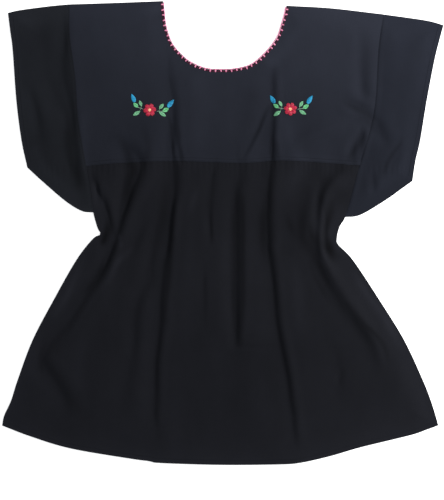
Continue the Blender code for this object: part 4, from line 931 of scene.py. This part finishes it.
def body_grid(columns, row_count):
    """Rows of plan points over the body, from the yoke seam to the hem."""
    levels = np.linspace(0, 1, row_count)
    for corner in CORNER_LEVELS:
        levels[np.argmin(abs(levels - corner))] = corner
    left, right = down(smooth_curve(SIDE_LEFT), levels), down(smooth_curve(SIDE_RIGHT), levels)
    share = np.linspace(0, 1, columns)
    near_left, near_right = (np.clip(1 - s / SIDE_SHARE, 0, 1) for s in (share, 1 - share))
    rows = []
    for level, start, end in zip(levels, left, right):
        x = start[0] + share * (end[0] - start[0])
        ruled = seam_height(x) + level * (hem_height(x) - seam_height(x))
        level_y = ruled + (start[1] - ruled[0]) * near_left + (end[1] - ruled[-1]) * near_right
        row = np.column_stack([x, level_y])
        row[0, 0] += SEAM_GAP
        row[-1, 0] -= SEAM_GAP
        rows.append(row)
    rows[0][:, 1] -= SEAM_GAP
    return rows


def yoke_grid(neck_extra, row_count):
    """Rows of plan points over the yoke, from the shoulders to the seam, and each column's place on top."""
    beside, at_neck = YOKE_COLUMNS_BESIDE_NECK, YOKE_COLUMNS_AT_NECK
    left_shoulder = np.linspace(-1, 0, beside)[:-1]
    right_shoulder = np.linspace(1, 2, beside)[1:]
    round_neck = np.linspace(0, 1, at_neck)
    place_on_top = np.concatenate([left_shoulder, round_neck, right_shoulder])
    low = np.interp(place_on_top, YOKE_GRAIN_PLACE, YOKE_GRAIN_X)
    bottom = np.column_stack([low, seam_height(low)])
    top = np.vstack(
        [
            along(smooth_curve(SHOULDER_LEFT), left_shoulder + 1),
            along(neck_curve(neck_extra), round_neck),
            along(smooth_curve(SHOULDER_RIGHT), right_shoulder - 1),
        ]
    )
    levels = np.linspace(0, 1, row_count)
    left = along(smooth_curve(ARMHOLE_LEFT), levels)
    right = along(smooth_curve(ARMHOLE_RIGHT), levels)
    top[0], top[-1], bottom[0], bottom[-1] = left[0], right[0], left[-1], right[-1]
    rows = patch(left, right, top, bottom, (low - low[0]) / (low[-1] - low[0]))
    for row in rows:
        row[0, 0] += SEAM_GAP
        row[-1, 0] -= SEAM_GAP
    rows[-1][:, 1] += SEAM_GAP
    return rows, place_on_top


def make_body():
    finish = cotton("body_cotton")
    sheet = Sheet()
    sheet.add_rows(body_grid(BODY_COLUMNS, BODY_ROWS), top_height)
    back = sheet.build("back_body_cloth", finish, "body_cloth", "body_back", BODY_LIGHT_PAINT)
    sheet = Sheet()
    sheet.add_rows(body_grid(FRONT_BODY_COLUMNS, FRONT_BODY_ROWS), floor_height)
    front = sheet.build("front_body_cloth", finish, "body_cloth", "body_front", BODY_LIGHT_PAINT)


def make_yoke():
    """The yoke, folded over at both shoulders, with its neck open."""
    sheet = Sheet()
    rows, place_on_top = yoke_grid(0, YOKE_ROWS)
    back = sheet.add_rows(rows, top_height)
    front_rows, _ = yoke_grid(NECK_FRONT_EXTRA, FRONT_YOKE_ROWS)
    front = sheet.add_rows(front_rows, under_height)
    for shoulder in (np.flatnonzero(place_on_top <= 0), np.flatnonzero(place_on_top >= 1)):
        edge = [sheet.points[back[0][k]][:2] for k in shoulder]
        sheet.fold_over([back[0][k] for k in shoulder], [front[0][k] for k in shoulder], outward_of(edge))
    yoke = sheet.build("yoke_cloth", cotton("yoke_cotton"), "yoke_cloth", "yoke", YOKE_LIGHT_PAINT)


def make_sleeve(sleeve):
    """A sleeve folded along its top."""
    side_line = down(smooth_curve(sleeve.body_side), np.linspace(0, sleeve.last_level, 8)[1:])
    levels = np.linspace(0, 1, SLEEVE_ROWS)
    inner = along(np.vstack([smooth_curve(sleeve.armhole), side_line]), levels)
    outer = along(smooth_curve(sleeve.cuff), levels)
    shares = np.linspace(0, 1, SLEEVE_COLUMNS)
    top, bottom = (along(smooth_curve(edge), shares) for edge in (sleeve.top, sleeve.underarm))
    rows = patch(inner, outer, top, bottom, shares)
    for row in rows:
        row[0, 0] += sleeve.side * SEAM_GAP
    if sleeve.side < 0:
        rows = [row[::-1] for row in rows]
    sheet = Sheet()
    back = sheet.add_rows(rows, top_height)
    picks = np.linspace(0, SLEEVE_ROWS - 1, FRONT_SLEEVE_ROWS).round().astype(int)
    front = sheet.add_rows([rows[k] for k in picks], under_height)
    sheet.fold_over(back[0], front[0], outward_of(rows[0]))
    # Each sleeve's tone holds painted shade on the left and painted light on the right
    finish = cotton(f"{sleeve.name}_sleeve_cotton")
    cloth = f"{sleeve.name}_sleeve_cloth"
    piece = sheet.build(cloth, finish, "yoke_cloth", f"sleeve_{sleeve.name}", sleeve.drift)


# Materials. Maths in them is written as Python on Value objects


class Value:
    """A socket in a material. Arithmetic on it adds Math nodes."""

    def __init__(self, finish, socket):
        self.finish = finish
        self.socket = socket

    def maths(self, operation, *values):
        return self.finish.add("ShaderNodeMath", {"operation": operation}, dict(enumerate(values)))

    def __add__(self, other):
        return self.maths("ADD", self, other)

    def __radd__(self, other):
        return self.maths("ADD", other, self)

    def __sub__(self, other):
        return self.maths("SUBTRACT", self, other)

    def __rsub__(self, other):
        return self.maths("SUBTRACT", other, self)

    def __mul__(self, other):
        return self.maths("MULTIPLY", self, other)

    def __rmul__(self, other):
        return self.maths("MULTIPLY", other, self)

    def sine(self):
        return self.maths("SINE", self)

    def size(self):
        return self.maths("ABSOLUTE", self)


class Finish:
    """One material and its nodes."""

    def __init__(self, name, roughness, sheen=0.0, specular=0.25):
        self.material = bpy.data.materials.new(name)
        self.material.use_nodes = True
        self.tree = self.material.node_tree
        self.shader = self.tree.nodes["Principled BSDF"]
        self.shader.inputs["Roughness"].default_value = roughness
        self.shader.inputs["Sheen Weight"].default_value = sheen
        self.shader.inputs["Sheen Roughness"].default_value = 0.6
        self.shader.inputs["Specular IOR Level"].default_value = specular

    def add(self, kind, settings=None, inputs=None, output=0):
        """Adds a node with these settings and inputs, and gives its output as a Value."""
        node = self.tree.nodes.new(kind)
        for name, value in (settings or {}).items():
            if name == "stops":
                ramp = node.color_ramp.elements
                while len(ramp) < len(value):
                    ramp.new(0.5)
                for stop, (position, colour) in zip(ramp, value):
                    stop.position = position
                    stop.color = (*colour, 1)
            else:
                setattr(node, name, value)
        for name, value in (inputs or {}).items():
            self.feed(node.inputs[name], value)
        return Value(self, node.outputs[output])

    def feed(self, socket, value):
        if isinstance(value, Value):
            self.tree.links.new(value.socket, socket)
        else:
            socket.default_value = value

    def give(self, name, value):
        self.feed(self.shader.inputs[name], value)

    def noise(self, where, scale, detail, stretch=None):
        """Soft noise at these places, which may be stretched first."""
        if stretch:
            where = self.add("ShaderNodeMapping", inputs={"Vector": where, "Scale": stretch})
        return self.add("ShaderNodeTexNoise", inputs={"Vector": where, "Scale": scale, "Detail": detail})

    def bump(self, strength, distance, height):
        inputs = {"Strength": strength, "Distance": distance, "Height": height}
        self.give("Normal", self.add("ShaderNodeBump", inputs=inputs))


@lru_cache(maxsize=None)
def cotton(name):
    """Plain-woven cotton: threads over and under, slubs, soft clouds of colour, lint, and painted light and
    shade.
    """
    tone, roughness = COTTONS[name]
    dark, light, worn = (tuple(part * share for part in tone) for share in COTTON_SHARES)
    finish = Finish(name, roughness, sheen=0.01, specular=0.04)
    weave = finish.add("ShaderNodeUVMap", {"uv_map": "Weave"})
    across = finish.add("ShaderNodeSeparateXYZ", inputs={0: weave})
    along_cloth = Value(finish, across.socket.node.outputs[1])
    warp = (across * (math.pi / THREAD_PITCH)).sine()
    weft = (along_cloth * (math.pi / THREAD_PITCH)).sine()
    over = warp * weft
    slub_warp = finish.noise(weave, 1.0, 1.0, (SLUB_FINE, SLUB_LONG, 1))
    slub_weft = finish.noise(weave, 1.0, 1.0, (SLUB_LONG, SLUB_FINE, 1))
    clouds = finish.noise(weave, 9.0, 3.0)
    lint = finish.noise(weave, 900.0, 2.0)
    shade = clouds * 0.55 + slub_warp * 0.25 + slub_weft * 0.20 + over.size() * 0.06 - 0.03
    stops = ((0.30, dark), (0.55, light), (0.80, worn))
    colour = finish.add("ShaderNodeValToRGB", {"stops": stops}, {0: shade})
    # Painted light and shade: the colour is scaled by one plus the share laid on each point
    painted_map = finish.add("ShaderNodeUVMap", {"uv_map": "Fade"})
    lighter = finish.add("ShaderNodeSeparateXYZ", inputs={0: painted_map})
    scaled = finish.add("ShaderNodeVectorMath", {"operation": "SCALE"}, {0: colour, "Scale": lighter + 1})
    finish.give("Base Color", scaled)
    finish.give("Roughness", roughness - 0.08 + lint * 0.16)
    finish.bump(0.22, 0.0004, over * 0.5 + (slub_warp + slub_weft) * 0.35 + lint * 0.2)
    return finish.material


@lru_cache(maxsize=None)
def dyed_thread(name):
    """Mercerised thread: fine twist along it, and soft changes of tone."""
    dye = DYES[name]
    finish = Finish(name, dye.roughness, dye.sheen, dye.specular)
    where = finish.add("ShaderNodeTexCoord", output=3)
    tone = finish.noise(where, 420.0, 2.0)
    fibre = finish.noise(where, 5200.0, 1.0)
    stops = ((0.30, dye.dark), (0.65, dye.light))
    finish.give("Base Color", finish.add("ShaderNodeValToRGB", {"stops": stops}, {0: tone}))
    finish.give("Roughness", dye.roughness - 0.05 + fibre * 0.12)
    finish.bump(0.25, 0.0001, fibre)
    return finish.material


# Threads


def one_stitch():
    """Points and faces of one stitch, one unit long each way from its middle and one unit thick."""
    bpy.ops.mesh.primitive_uv_sphere_add(segments=6, ring_count=7, radius=1, location=(0, 0, 0))
    obj = bpy.context.active_object
    bpy.ops.object.mode_set(mode="EDIT")
    bpy.ops.mesh.select_all(action="SELECT")
    bpy.ops.transform.rotate(value=math.pi / 2, orient_axis="Y", center_override=(0, 0, 0))
    bpy.ops.object.mode_set(mode="OBJECT")
    points = np.array([v.co for v in obj.data.vertices])
    reach = np.clip(1 - points[:, 0] ** 2, 1e-4, 1)
    fuller = np.where(abs(points[:, 0]) < 0.999, reach**-0.28, 0)
    points[:, 1:] *= fuller[:, None]
    faces = [tuple(polygon.vertices) for polygon in obj.data.polygons]
    bpy.data.objects.remove(obj)
    return points, faces


STITCH_POINTS, STITCH_FACES = one_stitch()


def tube_faces(length, sides):
    """Faces of a tube that is closed at both ends, whose points come ring by ring."""
    faces = []
    for k in range(0, (length - 1) * sides, sides):
        for s in range(sides):
            after = (s + 1) % sides
            faces.append((k + s, k + after, k + sides + after, k + sides + s))
    last = (length - 1) * sides
    return faces + [tuple(range(sides))[::-1], tuple(range(last, last + sides))]


class Threads:
    """Collects stitches and cords that lie on the cloth and makes them one piece."""

    def __init__(self):
        self.points = []
        self.faces = []

    def take(self, points, faces):
        first = len(self.points)
        self.points += [tuple(p) for p in points]
        self.faces += [tuple(k + first for k in face) for face in faces]

    def stitch(self, start, end, radius, lift, bulge=0.0, flat=0.8):
        """A stitch between two plan points, raised by lift over the cloth and more in its middle."""
        start, end = np.array(start, float), np.array(end, float)
        middle, run = (start + end) / 2, (end - start) / 2
        side = np.array([-run[1], run[0]]) / max(np.linalg.norm(run), 1e-6)
        share = STITCH_POINTS[:, 0]
        line = middle + share[:, None] * run
        z = GROUND(line[:, 0], line[:, 1]) + lift + bulge * (1 - share**2)
        plan = line + STITCH_POINTS[:, 1:2] * radius * side
        self.take(np.column_stack([plan, z + STITCH_POINTS[:, 2] * radius * flat]), STITCH_FACES)

    def cord(self, line, radius, sides=6):
        """A round cord along points in space."""
        run = np.gradient(line, axis=0)
        run /= np.linalg.norm(run, axis=1)[:, None]
        side = np.cross(run, (0, 0, 1.0))
        side /= np.linalg.norm(side, axis=1)[:, None]
        up = np.cross(side, run)
        angles = [2 * math.pi * k / sides for k in range(sides)]
        rings = [line + radius * (math.cos(angle) * side + math.sin(angle) * up) for angle in angles]
        self.take(np.stack(rings, axis=1).reshape(-1, 3), tube_faces(len(line), sides))

    def build(self, name, dye, slot, *nodes):
        obj = new_object(name, self.points, self.faces, dyed_thread(dye))
        bpy.ops.object.shade_smooth()
        place(obj, slot, *nodes)


class Ground:
    """The upper layer's outer face, worked out once on a fine grid and then looked up."""

    def __init__(self):
        self.x = np.arange(*GROUND_X, GROUND_STEP)
        self.y = np.arange(*GROUND_Y, GROUND_STEP)
        xs, ys = np.meshgrid(self.x, self.y)
        strips = zip(np.array_split(xs, GROUND_STRIPS), np.array_split(ys, GROUND_STRIPS))
        self.z = np.vstack([top_height(x, y) for x, y in strips])

    def __call__(self, x, y):
        i = np.clip((x - self.x[0]) / GROUND_STEP, 0, len(self.x) - 1.001)
        j = np.clip((y - self.y[0]) / GROUND_STEP, 0, len(self.y) - 1.001)
        a, b = i.astype(int), j.astype(int)
        u, v = i - a, j - b
        low = self.z[b, a] * (1 - u) + self.z[b, a + 1] * u
        high = self.z[b + 1, a] * (1 - u) + self.z[b + 1, a + 1] * u
        return low * (1 - v) + high * v


GROUND = Ground()


def placed(points, flower, sprig, low=False):
    """Plan points of a sprig's part, which may be its lower leaf's, in the blouse's frame."""
    towards = -1 if (flower.name == "left") == (sprig.side == "outer") else 1
    turn, stretch = (sprig.low_turn, sprig.low_stretch) if low else (sprig.turn, sprig.stretch)
    cos, sin = math.cos(turn) * stretch, math.sin(turn) * stretch
    return [(flower.x + towards * (x * cos - y * sin), flower.y + x * sin + y * cos) for x, y in points]


def satin_leaf(threads, leaf, flower, sprig, start=0.0, veined=True, low=False):
    """Satin stitches side by side across a leaf, slanted towards its tip, padded in the middle."""
    base, run = np.array(leaf.base), np.array(leaf.tip) - leaf.base
    length = np.linalg.norm(run)
    ahead = run / length * SATIN_SLANT
    out = np.array([-run[1], run[0]]) / length
    count = max(4, round(length * (1 - start) / SATIN_PITCH))
    for share in np.linspace(start + LEAF_START, LEAF_END, count):
        half = out * leaf.half_width * math.sin(math.pi * share**LEAF_BELLY) ** LEAF_BLUNT
        middle = base + run * share
        if veined:
            inner = middle - ahead * VEINED_SLANT
            ends = [(inner, middle - half + ahead), (inner, middle + half + ahead)]
        else:
            aslant = half + ahead * PLAIN_SLANT
            ends = [(middle - aslant, middle + aslant)]
        for pair in ends:
            fullness = VEINED_FULLNESS if veined else PLAIN_FULLNESS
            threads.stitch(*placed(pair, flower, sprig, low), SATIN_RADIUS, SATIN_LIFT, fullness)


def stem_stitches(threads, line, radius):
    """Stem stitch along plan points: short stitches that overlap like a rope."""
    curve = smooth_curve(line)
    length = np.linalg.norm(np.diff(curve, axis=0), axis=1).sum()
    spots = along(curve, np.linspace(0, 1, max(3, round(length / STEM_STITCH)) + 2))
    for before, after in zip(spots[:-2], spots[2:]):
        run = after - before
        side = np.array([-run[1], run[0]]) / np.linalg.norm(run) * radius * 0.5
        threads.stitch(before - side, after + side, radius, SATIN_LIFT, STEM_FULLNESS)


def at_angle(centre, reach, angle):
    """The plan point that lies so far from a centre, in this direction."""
    return centre[0] + reach * math.cos(angle), centre[1] + reach * math.sin(angle)


def make_flowers():
    for flower in FLOWERS:
        centre = (flower.x, flower.y)
        petals = Threads()
        step = 2 * math.pi / flower.petals
        for k in range(flower.petals):
            middle = flower.turn + math.pi / 2 + (k + 0.5) * step
            for share in np.linspace(-1, 1, PETAL_STITCHES):
                angle = middle + share * step * PETAL_SPREAD
                start = at_angle(centre, FLOWER_CENTRE_RADIUS * PETAL_START, angle)
                reach = FLOWER_RADIUS * (1 - PETAL_DIP * abs(share) ** PETAL_ROUND)
                end = at_angle(centre, reach, angle + PETAL_BEND * share)
                fullness = PLAIN_FULLNESS * (1 - PETAL_FLATTER * share**2)
                petals.stitch(start, end, SATIN_RADIUS * PETAL_THREAD, SATIN_LIFT, fullness)
        petals.build(f"petals_{flower.name}", "red_silk", "red_thread", f"flower_{flower.name}")
        knots = Threads()
        for ring, count in KNOT_RINGS:
            for k in range(count):
                angle = 2 * math.pi * k / count + ring * KNOT_TWIST
                middle = at_angle(centre, ring, angle)
                start = at_angle(middle, -KNOT_REACH, angle + KNOT_TURN)
                end = at_angle(middle, KNOT_REACH, angle + KNOT_TURN)
                knots.stitch(start, end, KNOT_RADIUS, KNOT_LIFT - ring * KNOT_DROP, KNOT_FULLNESS, 1.0)
        heart = f"flower_heart_{flower.name}"
        knots.build(heart, "peach_silk", "yellow_thread", f"flower_centre_{flower.name}")


def make_sprigs():
    flowers = {flower.name: flower for flower in FLOWERS}
    for sprig in SPRIGS:
        flower = flowers[sprig.flower]
        name = f"{sprig.flower}_{sprig.side}"
        pale = Threads()
        stem_stitches(pale, placed(STEM, flower, sprig), STEM_RADIUS)
        pale.build(f"stem_{name}", "pale_silk", "green_thread")
        green = Threads()
        stem_stitches(green, placed(UPPER_STALK, flower, sprig), STALK_RADIUS)
        stalk_end = placed([LOWER_STALK_END], flower, sprig, low=True)
        stem_stitches(green, placed([LOWER_STALK_TOP], flower, sprig) + stalk_end, STALK_RADIUS)
        satin_leaf(green, UPPER_LEAF, flower, sprig)
        satin_leaf(green, LOWER_LEAF, flower, sprig, low=True)
        green.build(f"leaves_{name}", "green_silk", "green_thread", f"sprig_{name}")
        bright = Threads()
        satin_leaf(bright, CALYX, flower, sprig)
        bright.build(f"calyx_{name}", "bright_green_silk", "green_thread")
        blue = Threads()
        satin_leaf(blue, BUD, flower, sprig, start=BUD_CUT, veined=False)
        blue.build(f"blue_bud_{name}", "blue_silk", "blue_thread", f"bud_{name}")


def edging_strands(edging, edge, into, height, radius):
    """Two strands twisted round each other beside an edge, with their middle at this height."""
    reach = np.concatenate([[0], np.cumsum(np.linalg.norm(np.diff(edge, axis=0), axis=1))])
    for phase in (0, math.pi):
        turn = 2 * math.pi * reach / EDGING_TWIST + phase
        sideways = radius * (STRAND_PLACE + STRAND_SWAY * np.cos(turn))
        z = height + radius * STRAND_SWAY * np.sin(turn)
        edging.cord(np.column_stack([edge + into * sideways[:, None], z]), radius * STRAND_RADIUS)


def edging_stitches(edging, edge, into):
    """Pairs of stitches from behind the edging out over the cloth, each pair leaning its own way."""
    for k in range(EDGING_STITCHES):
        at = int((k + 0.5) / EDGING_STITCHES * (len(edge) - 1))
        lean = math.radians(sum(degrees * math.sin(k * turn) for degrees, turn in STITCH_LEANS))
        cos, sin = math.cos(lean), math.sin(lean)
        x, y = -into[at]
        out = np.array([x * cos - y * sin, x * sin + y * cos])
        across = np.array([-out[1], out[0]])
        length = STITCH_LENGTH * (1 + STITCH_UNEVEN * math.sin(k * STITCH_UNEVEN_TURN))
        for side in (-1, 1):
            start = edge[at] - out * STITCH_BACK + across * side * STITCH_FOOT
            end = edge[at] + out * length + across * side * STITCH_HEAD
            edging.stitch(start, end, STITCH_RADIUS, STITCH_LIFT, STITCH_FULLNESS, 1.0)


def make_neck_edging():
    """Crocheted edging: a twisted cord along the neck's edge, and stitches over it into the cloth."""
    shares = np.linspace(0.003, 0.997, EDGING_STEPS)
    edge = along(neck_curve(0), shares)
    into = outward_of(edge)
    # A dark wine cord inside the edging, as painted shade between its stitches
    shade_cord = Threads()
    inner = edge - into * SHADE_CORD_OFFSET
    z = GROUND(inner[:, 0], inner[:, 1]) - SHADE_CORD_SINK
    shade_cord.cord(np.column_stack([inner, z]), SHADE_CORD_RADIUS)
    shade_cord.build("edging_shade_cord", "wine_shade_cotton", "pink_thread")
    back = Threads()
    edging_strands(back, edge, into, EDGING_HEIGHT, EDGING_RADIUS)
    edging_stitches(back, edge, into)
    back.build("back_neck_edging", "pink_cotton", "pink_thread", "neck_edging_back")
    edge = along(neck_curve(NECK_FRONT_EXTRA), shares)
    front = Threads()
    edging_strands(front, edge, outward_of(edge), FRONT_EDGING_HEIGHT, FRONT_EDGING_RADIUS)
    front.build("front_neck_edging", "pink_cotton", "pink_thread", "neck_edging_front")


def sew_along(threads, line, offset):
    """A row of sewing stitches beside a line, at that distance on its left."""
    spots = line + outward_of(line) * offset
    length = np.linalg.norm(np.diff(spots, axis=0), axis=1).sum()
    half = SEWING_LENGTH / 2 / length
    for k in range(int(length / SEWING_PITCH)):
        middle = (k + 0.5) * SEWING_PITCH / length
        start, end = along(spots, [middle - half, middle + half])
        threads.stitch(start, end, SEWING_RADIUS, SEWING_LIFT)


def lay_allowance(threads, line):
    """The cut edges of two cloths, pressed flat under their seam."""
    across = outward_of(line) * ALLOWANCE_HALF_WIDTH
    left, right = line + across, line - across
    rings = []
    for plan, drop in ((left, 0), (right, 0), (right, ALLOWANCE_THICKNESS), (left, ALLOWANCE_THICKNESS)):
        z = GROUND(plan[:, 0], plan[:, 1]) - ALLOWANCE_DROP - drop
        rings.append(np.column_stack([plan, z]))
    threads.take(np.stack(rings, axis=1).reshape(-1, 3), tube_faces(len(line), 4))


def make_sewing():
    """Rows of stitches: two over the yoke seam, and one along each hem, cuff and armhole."""
    seam = Threads()
    for offset in (BESIDE_SEAM, WELT_ROW):
        sew_along(seam, along(SEAM_LINE, np.linspace(0.004, 0.996, 120)), offset)
    seam.build("yoke_seam_stitches", "black_sewing_thread", "yoke_cloth")
    allowances = Threads()
    lay_allowance(allowances, along(SEAM_LINE, np.linspace(0.004, 0.996, 260)))
    for line in ARMHOLE_LINES:
        lay_allowance(allowances, along(line, np.linspace(0.004, 0.965, 200)))
    allowances.build("seam_allowances", "black_sewing_thread", "yoke_cloth")
    sides = Threads()
    for line, outward in zip(ARMHOLE_LINES, (-1, 1)):
        sew_along(sides, along(line, np.linspace(0.01, 0.985, 160)), outward * BESIDE_SEAM)
    for line, inward in zip(CUFF_LINES, (1, -1)):
        sew_along(sides, along(line, np.linspace(0.02, 0.98, 120)), inward * HEM_ROW)
    sides.build("sleeve_stitches", "black_sewing_thread", "yoke_cloth")
    hem = Threads()
    sew_along(hem, along(HEM_LINE, np.linspace(0.01, 0.99, 200)), HEM_ROW)
    hem.build("hem_stitches", "black_sewing_thread", "body_cloth")


def make_studio():
    """A pale floor, a soft key light from the upper right, and the camera straight above."""
    bpy.ops.mesh.primitive_plane_add(size=FLOOR_SIZE, location=(0, 0, -FLOOR_DROP))
    floor = bpy.context.active_object
    floor.name = "floor"
    finish = Finish("pale_floor", 0.9)
    cloud = finish.noise(finish.add("ShaderNodeTexCoord", output=3), 3.0, 2.0)
    finish.give("Base Color", finish.add("ShaderNodeValToRGB", {"stops": FLOOR_TONES}, {0: cloud}))
    finish.give("Emission Color", (1, 1, 1, 1))
    finish.give("Emission Strength", FLOOR_GLOW)
    floor.data.materials.append(finish.material)

    world = bpy.data.worlds.new("studio")
    bpy.context.scene.world = world
    world.use_nodes = True
    sky = world.node_tree.nodes["Background"]
    sky.inputs["Color"].default_value = SKY_COLOUR
    sky.inputs["Strength"].default_value = SKY_STRENGTH

    bpy.ops.object.light_add(type="AREA", location=KEY_PLACE)
    key = bpy.context.active_object
    key.name = "key"
    key.data.shape = "DISK"
    key.data.size = KEY_SIZE
    key.data.energy = KEY_POWER
    key.data.color = KEY_COLOUR
    key.rotation_mode = "QUATERNION"
    key.rotation_quaternion = Vector(key.location).to_track_quat("Z", "Y")

    camera = bpy.data.objects.new("camera", bpy.data.cameras.new("camera"))
    bpy.context.scene.collection.objects.link(camera)
    camera.data.lens = LENS
    camera.data.sensor_width = SENSOR
    camera.location = (*VIEW_MIDDLE, VIEW_HEIGHT * LENS / SENSOR)
    camera.data.clip_end = 100
    bpy.context.scene.camera = camera
    bpy.context.scene.view_settings.view_transform = "Standard"


def main():
    make_body()
    make_yoke()
    for sleeve in SLEEVES:
        make_sleeve(sleeve)
    make_flowers()
    make_sprigs()
    make_neck_edging()
    make_sewing()
    make_studio()


main()
